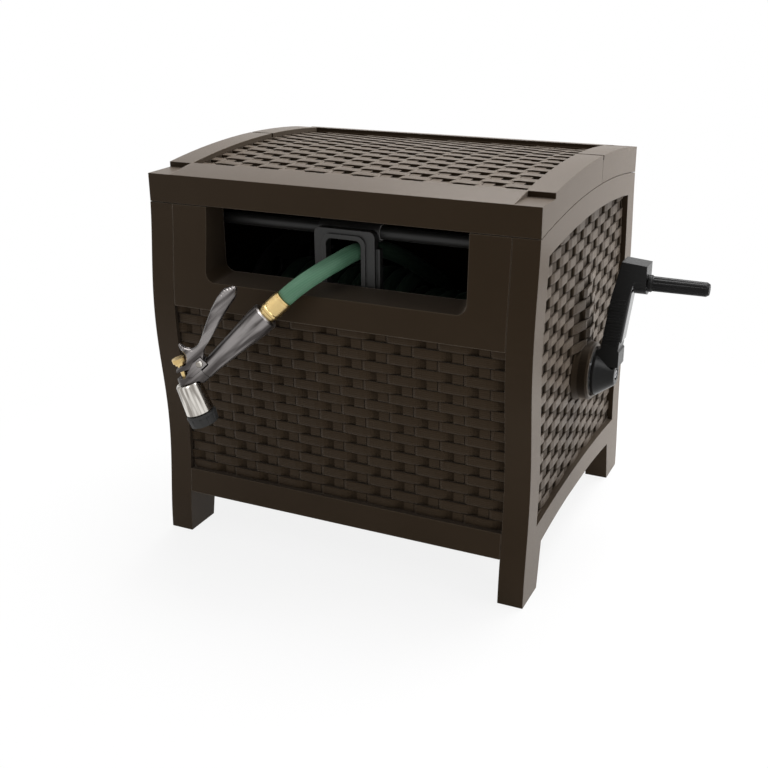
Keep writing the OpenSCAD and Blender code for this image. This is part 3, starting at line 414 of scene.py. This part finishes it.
def moulded_brown(name, field_of, ends_face, edge_radius):
    """The cabinet's brown plastic: smooth frames, and ribbons with fine lines where it is woven. The steps
    at the ribbons' ends face along the axis ends_face."""
    f = Finish(name)
    x, y, z = f.place()
    field = field_of(f, x, y, z)
    woven = field.woven
    # Each ribbon is fuller in the middle of its height than at its edges
    level_in_row = f.fraction(field.row) * 2.0 - 1.0
    full = 1.0 - level_in_row ** 4.0
    # Fine lines along a ribbon, and upright ones on the stakes between the ribbons
    waver = f.noise(f.point(field.along * 0.02, field.rising * 0.05, 0.0), scale=1.0, detail=2.0)
    lines = f.maths("SINE", field.rising * (2.0 * math.pi / LINE_PITCH) + waver * 7.0) * 0.5 + 0.5
    drawn_out = f.point(field.along * 0.012, field.rising * 0.9, field.deep * 0.02)
    strands = f.noise(drawn_out, scale=1.0, detail=4.0, rough=0.65)
    over_stake = f.fraction(field.along / STAKE_PITCH + 0.5 + STAKE_W / 2.0 / STAKE_PITCH)
    stake = f.step(over_stake, 0.0, 0.02) * (1.0 - f.step(over_stake, 0.39, 0.41))
    upright_lines = f.wave(field.along, STAKE_LINE_PITCH)
    # Colour: cloudy, with painted shade at the ribbons' edges and over the boss, and paler on worn edges,
    # which is partly wear and partly a painted highlight
    where = f.point(x, y, z)
    grain = f.noise(where, scale=1.1, detail=3.0, rough=0.6)
    cloud = f.noise(where, scale=0.012, detail=4.0, rough=0.55)
    tint = f.mix(cloud * 0.55 + strands * woven * 0.45, BROWN, BROWN_PALE)
    # Painted shade where each ribbon rounds over into the next row
    ribbon_edge_shade = woven * f.step(level_in_row * level_in_row, 0.66, 0.98)
    tint = f.mix(ribbon_edge_shade * 0.4, tint, BROWN_PAINTED_SHADE)
    soft_edge = f.rounded(edge_radius)
    # Paler worn edges, partly wear and partly a painted highlight
    tint = f.mix(f.near_edge(soft_edge) * (1.0 - woven) * 0.75, tint, BROWN_WORN_HIGHLIGHT)
    # Painted shade over the boss
    tint = f.mix(field.boss_shade, tint, BROWN_PAINTED_SHADE)
    # Painted shade: the pits, and the short steps at the ribbons' ends, get a dark and dull shader
    ends = f.step(f.facing(ends_face), 0.35, 0.7) * woven
    dull = f.node("ShaderNodeBsdfPrincipled", None, {
        "Base Color": BROWN_PAINTED_SHADE, "Roughness": 0.9, "Specular IOR Level": 0.0})
    f.cover(f.maths("MAXIMUM", field.pit * field.pit_shade, ends * 0.75), dull)
    # Relief: the fine grain, the lines and the ribbons' fullness
    fine = f.relief(grain, 0.00010, f.mix(woven * 0.85, soft_edge, f.flat()))
    fine = f.relief(lines * woven * 0.35 + strands * woven * 0.4 + upright_lines * stake * woven * 0.25,
                    0.0004, fine)
    fine = f.relief(full * woven, 0.0010, fine)
    gloss = grain * 0.08 + cloud * 0.08 + woven * 0.05 + field.pit * 0.3 + 0.28
    return f.done(Base_Color=tint, Roughness=gloss, Normal=fine, Specular_IOR_Level=0.13,
                  Specular_Tint=shade(1.0, 0.715, 0.48), Sheen_Weight=0.30, Sheen_Roughness=0.45,
                  Sheen_Tint=shade(1.0, 0.855, 0.725))


def moulded_black(name, base=0.016, gloss=0.32, shine=0.3, coat=0.0):
    """Black moulded plastic with a little unevenness in its shine."""
    f = Finish(name)
    x, y, z = f.place()
    where = f.point(x, y, z)
    cloud = f.noise(where, scale=0.03, detail=4.0, rough=0.6)
    grain = f.noise(where, scale=1.6, detail=2.0, rough=0.6)
    rubbed = f.noise(f.point(x * 0.05, y * 0.05, z * 0.9), scale=1.0, detail=5.0, rough=0.7)
    scuffs = f.step(rubbed, 0.56, 0.7)
    dark = shade(base, base, base * 0.97)
    dusty = shade(base * 2.2, base * 2.1, base * 2.0)
    worn = shade(base * 7.0, base * 7.0, base * 7.0)
    soft_edge = f.rounded(EDGE_RADIUS)
    tint = f.mix(f.near_edge(soft_edge) * 0.35, f.mix(cloud * 0.6 + scuffs * 0.25, dark, dusty), worn)
    return f.done(Base_Color=tint, Roughness=cloud * 0.12 + scuffs * 0.1 + gloss,
                  Normal=f.relief(grain, 0.00008, soft_edge),
                  Specular_IOR_Level=shine, Coat_Weight=coat, Coat_Roughness=0.12)


def hose_vinyl(name):
    """Green vinyl over a braid: faint lengthwise flutes and a soft shine, laid out on the hose's own UVs."""
    f = Finish(name)
    vinyl = shade(0.080, 0.200, 0.118)
    dusty = shade(0.155, 0.320, 0.205)
    flute_shade_green = shade(0.045, 0.120, 0.070)
    highlight_green = shade(0.19, 0.36, 0.24)
    painted_shade_green = shade(0.020, 0.030, 0.022)
    coords = f.node("ShaderNodeUVMap", {"uv_map": "hose"})
    apart = f.node("ShaderNodeSeparateXYZ", None, {"Vector": f.tap(coords)})
    turn = f.tap(apart, "X")
    run = f.tap(apart, "Y")
    flutes = f.wave(turn, 1.0 / 24.0)
    braid = f.maths("MAXIMUM", f.wave(turn * 14.0 + run * 190.0, 1.0), f.wave(turn * 14.0 - run * 190.0, 1.0))
    x, y, z = f.place()
    dust = f.noise(f.point(x, y, z), scale=0.05, detail=5.0, rough=0.65)
    # A paler stripe along the top of the hose: a painted highlight
    top_highlight = f.step(f.maths("COSINE", turn * (2.0 * math.pi)), 0.93, 0.97)
    tint = f.mix(dust * 0.7 + braid * 0.12, vinyl, dusty)
    # Painted shade in the grooves of the flutes
    tint = f.mix((1.0 - flutes) * 0.35, tint, flute_shade_green)
    tint = f.mix(top_highlight * 0.35, tint, highlight_green)
    # Painted shade: the hose behind the guide, inside the cabinet, is darkened, and it is rougher than the
    # stretch that is handled
    shaded_inside = f.step(y, -190.0, -140.0)
    tint = f.mix(shaded_inside * 0.8, tint, painted_shade_green)
    return f.done(Base_Color=tint, Roughness=dust * 0.2 + shaded_inside * 0.25 + 0.36,
                  Normal=f.relief(flutes * 0.6 + braid * 0.4, 0.00022), Specular_IOR_Level=0.35)


def worked_metal(name, pale, dull, gloss, own_frame=None):
    """Plated or turned metal with fine turning marks, dull patches and small scratches. With the frame of
    a round piece, the patches are drawn out into streaks along its Z axis, which are painted reflections."""
    f = Finish(name)
    x, y, z = f.place()
    if own_frame is None:
        cloud = f.noise(f.point(x, y, z), scale=0.10, detail=4.0, rough=0.6)
    else:
        cloud = f.streaks(own_frame, reach=6.2, axis=2)
    marks = f.noise(f.point(x * 0.1, y * 0.1, z * 2.2), scale=1.0, detail=3.0, rough=0.7)
    drawn_out = f.noise(f.point(x * 1.7, y * 0.25, z * 0.6), scale=1.0, detail=6.0, rough=0.75)
    scratch = f.step(drawn_out, 0.6, 0.68)
    return f.done(Base_Color=f.mix(cloud * 0.8, pale, dull), Metallic=1.0,
                  Roughness=cloud * 0.18 + scratch * 0.1 + gloss,
                  Normal=f.relief(marks * 0.7 + scratch * 0.3, 0.00004))


def pewter_coat(name, base, gloss):
    """The nozzle's pewter coating: a metallic grey with a fine grain, and brighter streaks along the handle
    that are painted reflections.
    """
    f = Finish(name)
    x, y, z = f.place()
    where = f.point(x, y, z)
    grain = f.noise(where, scale=2.2, detail=3.0, rough=0.7)
    cloud = f.noise(where, scale=0.05, detail=3.0)
    # Painted reflections: brighter streaks along the nozzle's handle
    streaks = f.streaks(NOZZLE, reach=10.0, axis=0)
    dull = shade(base * 0.55, base * 0.49, base * 0.47)
    painted_reflection_grey = shade(base * 2.3, base * 2.15, base * 2.1)
    return f.done(Base_Color=f.mix(streaks, dull, painted_reflection_grey), Metallic=0.85,
                  Roughness=grain * 0.08 + cloud * 0.08 + gloss, Normal=f.relief(grain, 0.00005))


def rubber(name):
    """Matt black rubber with dust in its grain."""
    f = Finish(name)
    x, y, z = f.place()
    where = f.point(x, y, z)
    grain = f.noise(where, scale=1.4, detail=3.0, rough=0.6)
    dust = f.noise(where, scale=0.09, detail=4.0, rough=0.6)
    tint = f.mix(dust * 0.5, shade(0.013, 0.013, 0.013), shade(0.035, 0.033, 0.03))
    return f.done(Base_Color=tint, Roughness=grain * 0.15 + 0.62, Normal=f.relief(grain, 0.0001))


side_brown = moulded_brown("brown_side", side_field, "Y", EDGE_RADIUS)
front_brown = moulded_brown("brown_front", front_field, "X", FRONT_EDGE_RADIUS)
lid_brown = moulded_brown("brown_lid", lid_field, "X", EDGE_RADIUS)
black_satin = moulded_black("black_satin")
black_arm = moulded_black("black_arm", base=0.005, gloss=0.13, shine=0.17)
black_polished = moulded_black("black_polished", base=0.011, gloss=0.16, shine=0.35, coat=0.8)
black_guide = moulded_black("black_guide", base=0.026, gloss=0.3, shine=0.35)
black_grip = moulded_black("black_grip", base=0.005, gloss=0.3, shine=0.13)
pale_bush = moulded_black("pale_bush", base=0.33, gloss=0.4)
green_vinyl = hose_vinyl("green_vinyl")
brass_worn = worked_metal("brass_worn", shade(0.80, 0.60, 0.28), shade(0.52, 0.38, 0.17), 0.2)
# The chrome head's pale and dull streaks are painted reflections
chrome_worn = worked_metal("chrome_worn", shade(0.72, 0.69, 0.64), shade(0.17, 0.15, 0.13), 0.10, HEAD)
steel_zinc = worked_metal("steel_zinc", shade(0.62, 0.62, 0.64), shade(0.42, 0.42, 0.44), 0.28)
pewter = pewter_coat("pewter_barrel", base=0.120, gloss=0.22)
lever_grey = pewter_coat("pewter_lever", base=0.115, gloss=0.16)
black_rubber = rubber("black_rubber")

NODES_OF = (
    (side_brown, ("left_side_panel", "right_side_panel", "base_tray")),
    (front_brown, ("front_panel", "back_panel")),
    (lid_brown, ("rear_deck", "front_lid")),
    (black_satin, ("upper_guide_rail", "lower_guide_rail", "left_bearing", "right_bearing", "inlet_fitting",
                   "drum", "left_flange", "right_flange", "outlet_fitting")),
    (black_arm, ("crank_arm",)),
    (black_grip, ("crank_grip",)),
    (black_guide, ("hose_guide",)),
    (pale_bush, ("guide_bushes",)),
    (black_rubber, ("inlet_seals", "coupling_washer", "bumper_ring")),
    (green_vinyl, ("hose_core", "hose_winding", "hose_inner", "hose_outer")),
    (brass_worn, ("hose_coupling", "coupling_ferrule", "valve_stem", "adjusting_nut")),
    (steel_zinc, ("panel_screws", "hinge_pins", "drum_screws", "crank_shaft", "crank_screw", "trigger_pin")),
    (chrome_worn, ("spray_head",)),
    (pewter, ("nozzle_handle", "nozzle_neck")),
    (lever_grey, ("trigger",)),
)


def dress(mesh, material):
    """Gives a mesh one material in place of any that it has."""
    mesh.materials.clear()
    mesh.materials.append(material)


for finish, names in NODES_OF:
    for node_name in names:
        dress(nodes[node_name].data, finish)


def new_object(name, mesh):
    made = bpy.data.objects.new(name, mesh)
    bpy.context.scene.collection.objects.link(made)
    return made


def runs_along(points):
    """How far along a line of points each of them lies."""
    runs = [0.0]
    for a, b in zip(points, points[1:]):
        runs.append(runs[-1] + (b - a).length)
    return runs


def smooth_path(points, count, parts=24):
    """A curve through points, as count points a steady distance apart."""
    pts = [points[0] * 2 - points[1]] + list(points) + [points[-1] * 2 - points[-2]]
    fine = []
    for p0, p1, p2, p3 in zip(pts, pts[1:], pts[2:], pts[3:]):
        for k in range(parts):
            t = k / parts
            fine.append(0.5 * (2 * p1 + (p2 - p0) * t + (2 * p0 - 5 * p1 + 4 * p2 - p3) * t * t
                               + (3 * p1 - p0 - 3 * p2 + p3) * t * t * t))
    fine.append(Vector(points[-1]))
    runs = runs_along(fine)
    out = []
    k = 0
    for i in range(count):
        want = runs[-1] * i / (count - 1)
        while k < len(runs) - 2 and runs[k + 1] < want:
            k += 1
        share = (want - runs[k]) / max(1e-9, runs[k + 1] - runs[k])
        out.append(fine[k].lerp(fine[k + 1], min(1.0, share)))
    return out


def hose_mesh(name, path, sides, up):
    """A round hose along a path, closed at its ends, with UVs of (turn, metres along)."""
    shape = bmesh.new()
    layer = shape.loops.layers.uv.new("hose")
    runs = runs_along(path)
    radius = HOSE_R / 1000.0
    rings = []
    for i, p in enumerate(path):
        ahead = (path[min(i + 1, len(path) - 1)] - path[max(i - 1, 0)]).normalized()
        side = ahead.cross(up(p)).normalized()
        top = side.cross(ahead).normalized()
        rings.append([shape.verts.new(p + radius * (
            math.cos(2 * math.pi * k / sides) * top + math.sin(2 * math.pi * k / sides) * side))
            for k in range(sides)])
    for i in range(len(path) - 1):
        for k in range(sides):
            n = (k + 1) % sides
            face = shape.faces.new((rings[i][k], rings[i][n], rings[i + 1][n], rings[i + 1][k]))
            face.smooth = True
            for loop, (u, v) in zip(face.loops, ((k, i), (k + 1, i), (k + 1, i + 1), (k, i + 1))):
                loop[layer].uv = (u / sides, runs[v])
    shape.faces.new(list(reversed(rings[0])))
    shape.faces.new(rings[-1])
    bmesh.ops.recalc_face_normals(shape, faces=shape.faces)
    mesh = bpy.data.meshes.new(name)
    shape.to_mesh(mesh)
    shape.free()
    return mesh


def wind_angle(turn):
    """Angle about the axle of the outer layer's middle line at a turn, counted from the left flange."""
    return LEAVE_A - 2 * math.pi * (HOSE_TURNS - turn)


def wind_point(turn):
    """Point of the outer layer's middle line."""
    a = wind_angle(turn)
    return mm(WIND_X0 + TURN_PITCH * turn, WIND_R * math.cos(a), AXLE_Z + WIND_R * math.sin(a))


def wind_way(turn):
    """Direction of the outer layer's middle line."""
    a = wind_angle(turn)
    w = 2 * math.pi * WIND_R
    return Vector((TURN_PITCH, -w * math.sin(a), w * math.cos(a))).normalized()


# The free hose, from the winding through the guide and down to the nozzle, with its route's points
HOSE_WIDTH = 0.023
hose_exit = wind_point(HOSE_TURNS) + wind_way(HOSE_TURNS) * HOSE_WIDTH
hose_route = [hose_exit, hose_exit + wind_way(HOSE_TURNS) * HOSE_WIDTH] + [mm(*p) for p in (
    (37.9, -20.3, 377.8), (37.3, -44.1, 390.4), (35.5, -67.8, 403), (32.4, -91.6, 415.4),
    (27.9, -115.7, 426.6), (22, -140.5, 435.4), (15.1, -166.1, 439.9), (8, -192, 438.5),
    (3.4, -206.9, 435.4), (-2.4, -221.2, 431.4), (-9.7, -234.4, 426.4), (-18.3, -246.2, 420),
    (-28, -256, 412.3), (-38.4, -263.9, 403.2), HOSE_END)]
hose_line = smooth_path(hose_route, 60)
hose_length = runs_along(hose_line)[-1]
free_hose = new_object("free_hose", hose_mesh("free_hose", hose_line, 32, lambda p: Vector((0, 0, 1))))
dress(free_hose.data, green_vinyl)
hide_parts("hose_inner", "hose_outer")
tuple(mm(38, -25, 380))
tuple(mm(11.5, -179, 439))
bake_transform(free_hose)


def from_axle_line(p):
    """Direction from the axle's line out to a point."""
    return Vector((0, p.y, p.z - AXLE_Z / 1000.0)).normalized()


# The outer layer on the drum, one unbroken hose with a short straight run at each end
TURN_STEPS = 60
END_RUNS = (0.012, HOSE_WIDTH)
wound_line = [wind_point(0) - wind_way(0) * run for run in reversed(END_RUNS)]
wound_line += [wind_point(i / TURN_STEPS) for i in range(HOSE_TURNS * TURN_STEPS + 1)]
wound_line += [wind_point(HOSE_TURNS) + wind_way(HOSE_TURNS) * run for run in END_RUNS]
outer_layer = new_object("outer_hose_layer", hose_mesh("outer_hose_layer", wound_line, 20, from_axle_line))
dress(outer_layer.data, green_vinyl)
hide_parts("hose_winding")
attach(outer_layer, "reel")


class Recipe:
    """A geometry node tree under construction, with named inputs for its sizes."""

    def __init__(self, name):
        self.name = name
        self.tree = bpy.data.node_groups.new(name, "GeometryNodeTree")
        self.tree.interface.new_socket("Geometry", in_out="INPUT", socket_type="NodeSocketGeometry")
        self.tree.interface.new_socket("Geometry", in_out="OUTPUT", socket_type="NodeSocketGeometry")
        self.entry = self.tree.nodes.new("NodeGroupInput")
        self.exit = self.tree.nodes.new("NodeGroupOutput")
        self.sizes = {}

    def size(self, name, value, kind="NodeSocketFloat"):
        """Adds a named input, and returns its socket inside the tree."""
        made = self.tree.interface.new_socket(name, in_out="INPUT", socket_type=kind)
        self.sizes[made.identifier] = value
        return self.entry.outputs[name]

    def node(self, kind, settings=None, inputs=None):
        """Adds a node: its settings come first, then the values or links of its sockets."""
        made = self.tree.nodes.new(kind)
        for key, value in (settings or {}).items():
            setattr(made, key, value)
        for key, value in (inputs or {}).items():
            if isinstance(value, bpy.types.NodeSocket):
                self.tree.links.new(value, made.inputs[key])
            else:
                made.inputs[key].default_value = value
        return made

    def bake(self, last, material):
        """Ends the tree, runs it on an empty mesh and returns the result as a plain object."""
        real = self.node("GeometryNodeRealizeInstances", None, {"Geometry": last.outputs[0]})
        dressed = self.node("GeometryNodeSetMaterial", None, {
            "Geometry": real.outputs[0], "Material": material})
        self.tree.links.new(dressed.outputs[0], self.exit.inputs[0])
        holder = new_object(self.name + "_maker", bpy.data.meshes.new(self.name + "_maker"))
        modifier = holder.modifiers.new(self.name, "NODES")
        modifier.node_group = self.tree
        for identifier, value in self.sizes.items():
            modifier[identifier] = value
        made = plain_object(self.name, holder)
        dress(made.data, material)
        for face in made.data.polygons:
            face.material_index = 0
        return made


def plain_object(name, holder):
    """The holder's mesh with its modifiers applied, as a new object; the holder is removed."""
    view = bpy.context.evaluated_depsgraph_get()
    mesh = bpy.data.meshes.new_from_object(holder.evaluated_get(view))
    bpy.data.objects.remove(holder)
    mesh.name = name
    return new_object(name, mesh)


def coil_along_x(name, radius, pitch, turns, thick, start, material, sides, steps):
    """A coil round an axis along X, made of a round section; start is its first point on the axis."""
    r = Recipe(name)
    radius_in = r.size("radius", radius)
    coil = r.node("GeometryNodeCurveSpiral", None, {
        "Resolution": steps, "Rotations": r.size("turns", turns), "Start Radius": radius_in,
        "End Radius": radius_in, "Height": r.size("length", pitch * turns)})
    section = r.node("GeometryNodeCurvePrimitiveCircle", None, {
        "Resolution": sides, "Radius": r.size("thickness", thick)})
    tube = r.node("GeometryNodeCurveToMesh", None, {
        "Curve": coil.outputs[0], "Profile Curve": section.outputs[0], "Fill Caps": True})
    smooth = r.node("GeometryNodeSetShadeSmooth", None, {"Geometry": tube.outputs[0]})
    laid = r.node("GeometryNodeTransform", None, {
        "Geometry": smooth.outputs[0], "Rotation": (0.0, math.pi / 2, 0.0), "Translation": start})
    return r.bake(laid, material)


def ring_of_ribs(name, radius, length, width, count, material):
    """Small upright ribs round an axis along Z, centred on the origin."""
    r = Recipe(name)
    ring = r.node("GeometryNodeMeshCircle", None, {
        "Vertices": r.size("count", count, "NodeSocketInt"), "Radius": r.size("radius", radius)})
    rib = r.node("GeometryNodeMeshCylinder", None, {
        "Vertices": 6, "Radius": r.size("width", width), "Depth": r.size("length", length)})
    placed = r.node("GeometryNodeInstanceOnPoints", None, {
        "Points": ring.outputs[0], "Instance": rib.outputs[0]})
    return r.bake(placed, material)


def rivet_heads(name, half, radius, height, material):
    """Two domed heads on the ends of a pin along Y, centred on the origin."""
    r = Recipe(name)
    ends = r.node("GeometryNodeMeshLine", {"mode": "END_POINTS"}, {
        "Count": 2, "Start Location": (0, -half, 0), "Offset": (0, half, 0)})
    dome = r.node("GeometryNodeMeshUVSphere", None, {
        "Segments": 32, "Rings": 18, "Radius": r.size("radius", radius)})
    flat = r.node("GeometryNodeTransform", None, {
        "Geometry": dome.outputs[0], "Scale": (1.0, height / radius, 1.0)})
    smooth = r.node("GeometryNodeSetShadeSmooth", None, {"Geometry": flat.outputs[0]})
    placed = r.node("GeometryNodeInstanceOnPoints", None, {
        "Points": ends.outputs[0], "Instance": smooth.outputs[0]})
    return r.bake(placed, material)


def lay_hose_uvs(coil):
    """Gives a coil on the drum UVs like the hose's: across it by its distance from the core's surface,
    and along it by its angle about the axle."""
    layer = coil.data.uv_layers.new(name="hose")
    for loop in coil.data.loops:
        p = coil.data.vertices[loop.vertex_index].co
        rise = p.z - AXLE_Z / 1000.0
        out = math.hypot(p.y, rise) - CORE_R / 1000.0
        layer.data[loop.index].uv = (out * 20.0, math.atan2(rise, p.y) * 0.1)


# The layer that shows beside the outer one, on the core of the reel
under_layer = coil_along_x(
    "under_hose_layer", radius=(CORE_R - HOSE_R) / 1000.0, pitch=0.0236, turns=15.2,
    thick=HOSE_R / 1000.0, start=tuple(mm(-180, 0, AXLE_Z)), material=green_vinyl, sides=14, steps=48)
lay_hose_uvs(under_layer)
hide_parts("hose_core")
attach(under_layer, "reel")

# The inlet's thread, with its outer end at this place
INLET_END_X = -312.5
inlet_ridges = coil_along_x(
    "inlet_thread_ridges", radius=0.01320, pitch=0.0022, turns=7.0, thick=0.0007,
    start=tuple(mm(INLET_END_X, 0, AXLE_Z)), material=black_satin, sides=6, steps=40)
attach(inlet_ridges, "cabinet")

# The rings turned into the brass coupling
coupling_rings = coil_along_x(
    "coupling_rings", radius=0.01345, pitch=0.0026, turns=6.0, thick=0.00032,
    start=(-0.027, 0, 0), material=brass_worn, sides=6, steps=48)
coupling_rings.data.transform(NOZZLE)
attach(coupling_rings, "guide")

# The knurl on the brass nut, which stands this far up the head's axis
NUT_Z = 33.0
nut_knurl = ring_of_ribs(
    "nut_knurl", radius=0.0079, length=0.0056, width=0.0006, count=28, material=brass_worn)
nut_knurl.data.transform(HEAD @ moved(0, 0, NUT_Z))
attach(nut_knurl, "valve")


def softened(name, node, voxel, rounds):
    """A copy of a CAD node with the rounded edges of a casting."""
    mesh = nodes[node].data.copy()
    shape = bmesh.new()
    shape.from_mesh(mesh)
    bmesh.ops.remove_doubles(shape, verts=shape.verts, dist=0.00001)
    shape.to_mesh(mesh)
    shape.free()
    holder = new_object(name + "_maker", mesh)
    remesh = holder.modifiers.new("remesh", "REMESH")
    remesh.mode = "VOXEL"
    remesh.voxel_size = voxel
    smooth = holder.modifiers.new("smooth", "SMOOTH")
    smooth.factor = 0.5
    smooth.iterations = rounds
    made = plain_object(name, holder)
    for face in made.data.polygons:
        face.use_smooth = True
    return made


# How the lever's sides are domed, in the nozzle's own millimetres
TO_NOZZLE = NOZZLE.inverted()
NOZZLE_SIDEWAYS = (NOZZLE.to_3x3() @ Vector((0, 1, 0))).normalized()
DOME_REACH = 7.5  # how far in from the outline
DOME_DROP = 4.2  # how much is taken off at the outline
DOME_FROM = 12.0  # height above the pivot where it starts
DOME_FADE = 10.0  # height over which it grows to its full depth
DOME_CORE = 1.0  # half thickness that always stays
SMOOTH_FROM = 27.0  # height above the handle's axis from which the surface is smoothed again
SMOOTH_ROUNDS = 8


def from_hose(point):
    """A point of the frame in the nozzle's own millimetres."""
    return TO_NOZZLE @ point * 1000.0


def dome_sides(mesh):
    """Rounds the lever's flat sides over towards its outline, above its pivot."""
    outline = KDTree(len(mesh.vertices))
    for vertex in mesh.vertices:
        if abs(vertex.normal.dot(NOZZLE_SIDEWAYS)) < 0.5:
            spot = from_hose(vertex.co)
            outline.insert((spot.x, 0, spot.z), vertex.index)
    outline.balance()
    for vertex in mesh.vertices:
        spot = from_hose(vertex.co)
        if spot.z - PIVOT_RISE > DOME_FROM:
            out = outline.find((spot.x, 0, spot.z))[2]
            fall = 1.0 - math.sqrt(max(0.0, 1.0 - max(0.0, 1.0 - out / DOME_REACH) ** 2))
            fade = min(1.0, (spot.z - PIVOT_RISE - DOME_FROM) / DOME_FADE)
            side = 1.0 if spot.y > 0 else -1.0
            drop = min(DOME_DROP * fall * fade, abs(spot.y) - DOME_CORE)
            vertex.co -= NOZZLE_SIDEWAYS * side * max(0.0, drop) / 1000.0
    shape = bmesh.new()
    shape.from_mesh(mesh)
    upper = [v for v in shape.verts if from_hose(v.co).z > SMOOTH_FROM]
    for _ in range(SMOOTH_ROUNDS):
        bmesh.ops.smooth_vert(shape, verts=upper, factor=0.5,
                              use_axis_x=True, use_axis_y=True, use_axis_z=True)
    shape.to_mesh(mesh)
    shape.free()
    mesh.update()


# The finger ribs, in the nozzle's own millimetres from the lever's pivot
RIB_STEP = 3.7
RIB_HEIGHT = 0.0004  # in metres
RIBS_BACK = -106.0
RIBS_AHEAD = -80.0
RIBS_RISE = 40.0  # they lie above this


def rib_lever(mesh):
    """Small ribs for the fingers, near the lever's tip."""
    for vertex in mesh.vertices:
        spot = from_hose(vertex.co)
        run = spot.x - HANDLE_LEN
        rise = spot.z - PIVOT_RISE
        if RIBS_BACK < run < RIBS_AHEAD and rise > RIBS_RISE:
            fade = min(1.0, (run - RIBS_BACK) / 4.0, (RIBS_AHEAD - run) / 6.0) \
                * min(1.0, (rise - RIBS_RISE) / 3.0)
            wave = math.sin(2.0 * math.pi * run / RIB_STEP)
            vertex.co += vertex.normal * (RIB_HEIGHT * wave * fade)


# The lever, rounded like the cast one
lever = softened("trigger_lever", "trigger", voxel=0.0007, rounds=44)
dress(lever.data, lever_grey)
dome_sides(lever.data)
rib_lever(lever.data)
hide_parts("trigger")
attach(lever, "trigger")

# The rib in the outer side of the crank's arm
SPINE_HALF = 12.6  # half width
SPINE_IN, SPINE_OUT = -4.2, 2.4  # depth of its back and face, from the arm's own face outwards
SPINE_FROM, SPINE_TO = 0.375, 0.915  # its ends, as shares of the arm's length
SPINE_ROUNDING = 0.0016


def arm_outside(share):
    """The outer face of the crank's arm at a share of its length, as the model has it."""
    return HUB_X + 32.3 + 16.5 * (share - 0.29)


def spine_mesh():
    """A rounded rib that fills the hollow outer side of the crank's arm."""
    shape = bmesh.new()
    corners = ((SPINE_IN, -SPINE_HALF), (SPINE_OUT, -SPINE_HALF),
               (SPINE_OUT, SPINE_HALF), (SPINE_IN, SPINE_HALF))
    ends = [[shape.verts.new(mm(arm_outside(share) + out, y, AXLE_Z + CRANK_LEN * share))
             for out, y in corners] for share in (SPINE_FROM, SPINE_TO)]
    for i in range(4):
        n = (i + 1) % 4
        shape.faces.new((ends[0][i], ends[0][n], ends[1][n], ends[1][i]))
    shape.faces.new(list(reversed(ends[0])))
    shape.faces.new(ends[1])
    bmesh.ops.recalc_face_normals(shape, faces=shape.faces)
    bmesh.ops.bevel(shape, geom=list(shape.edges), offset=SPINE_ROUNDING, segments=3, affect="EDGES",
                    profile=0.5)
    mesh = bpy.data.meshes.new("crank_arm_spine")
    shape.to_mesh(mesh)
    shape.free()
    return mesh


arm_spine = new_object("crank_arm_spine", spine_mesh())
dress(arm_spine.data, black_polished)
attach(arm_spine, "reel")

# The head's neck with its lugs, rounded in the same way
neck = softened("cast_neck", "nozzle_neck", voxel=0.0006, rounds=12)
dress(neck.data, pewter)
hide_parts("nozzle_neck")
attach(neck, "guide")

# The domed heads on the lever's pin
rivets = rivet_heads("trigger_rivets", half=0.0118, radius=0.0046, height=0.0032, material=chrome_worn)
rivets.data.transform(NOZZLE @ moved(HANDLE_LEN, 0, PIVOT_RISE))
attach(rivets, "guide")

# Where the floor shows the object's shadow, and how strongly, before it fades to plain white
SHADOW_X = 60.0
SHADOW_NEAR = 360.0
SHADOW_FAR = 900.0
SHADOW_SHARE = 0.14


def studio_white():
    """White wherever the camera or a reflection sees it, but for the object's shadow."""
    f = Finish("studio_white")
    x, y, z = f.place()
    aside = x - SHADOW_X
    faded = f.step(f.maths("SQRT", aside * aside + y * y), SHADOW_NEAR, SHADOW_FAR)
    glow = f.node("ShaderNodeEmission", None, {"Color": WHITE, "Strength": 1.0})
    f.cover(f.seen_itself() * (faded * SHADOW_SHARE + (1.0 - SHADOW_SHARE)), glow)
    return f.done(Base_Color=shade(0.92, 0.92, 0.92), Roughness=0.9)


# The floor, a little under the feet
FLOOR_HALF = 8.0
FLOOR_Z = -0.0008
floor_mesh = bpy.data.meshes.new("floor")
corners = [(x * FLOOR_HALF, y * FLOOR_HALF, FLOOR_Z) for x, y in ((-1, -1), (1, -1), (1, 1), (-1, 1))]
floor_mesh.from_pydata(corners, [], [(0, 1, 2, 3)])
dress(floor_mesh, studio_white())
floor = new_object("floor", floor_mesh)

# The room: white where it is seen, and a weak even light
WORLD_LIGHT = 0.26
world = bpy.data.worlds.new("studio")
bpy.context.scene.world = world
world.use_nodes = True
sky = ShaderTree(world.node_tree)
room = world.node_tree.nodes["Background"]
sky.feed(room.inputs["Color"], WHITE)
sky.feed(room.inputs["Strength"], sky.seen_itself() * (1.0 - WORLD_LIGHT) + WORLD_LIGHT)


def soft_lamp(name, place, target, size, energy):
    """A rectangular lamp that looks at a point."""
    data = bpy.data.lights.new(name, "AREA")
    data.shape = "RECTANGLE"
    data.size, data.size_y = size
    data.energy = energy
    made = new_object(name, data)
    aim = (Vector(target) - Vector(place)).to_track_quat("-Z", "Y")
    made.matrix_world = Matrix.Translation(place) @ aim.to_matrix().to_4x4()


soft_lamp("top_lamp", place=(0.1, 0.75, 2.1), target=(0, 0, 0.3), size=(1.9, 1.6), energy=82.0)
soft_lamp("right_lamp", place=(1.7, 0.1, 1.45), target=(0, 0, 0.45), size=(1.2, 1.2), energy=14.0)
soft_lamp("front_lamp", place=(-0.5, -1.7, 2.2), target=(0, 0, 0.2), size=(0.9, 0.9), energy=7.0)

bpy.context.scene.view_settings.view_transform = "Standard"
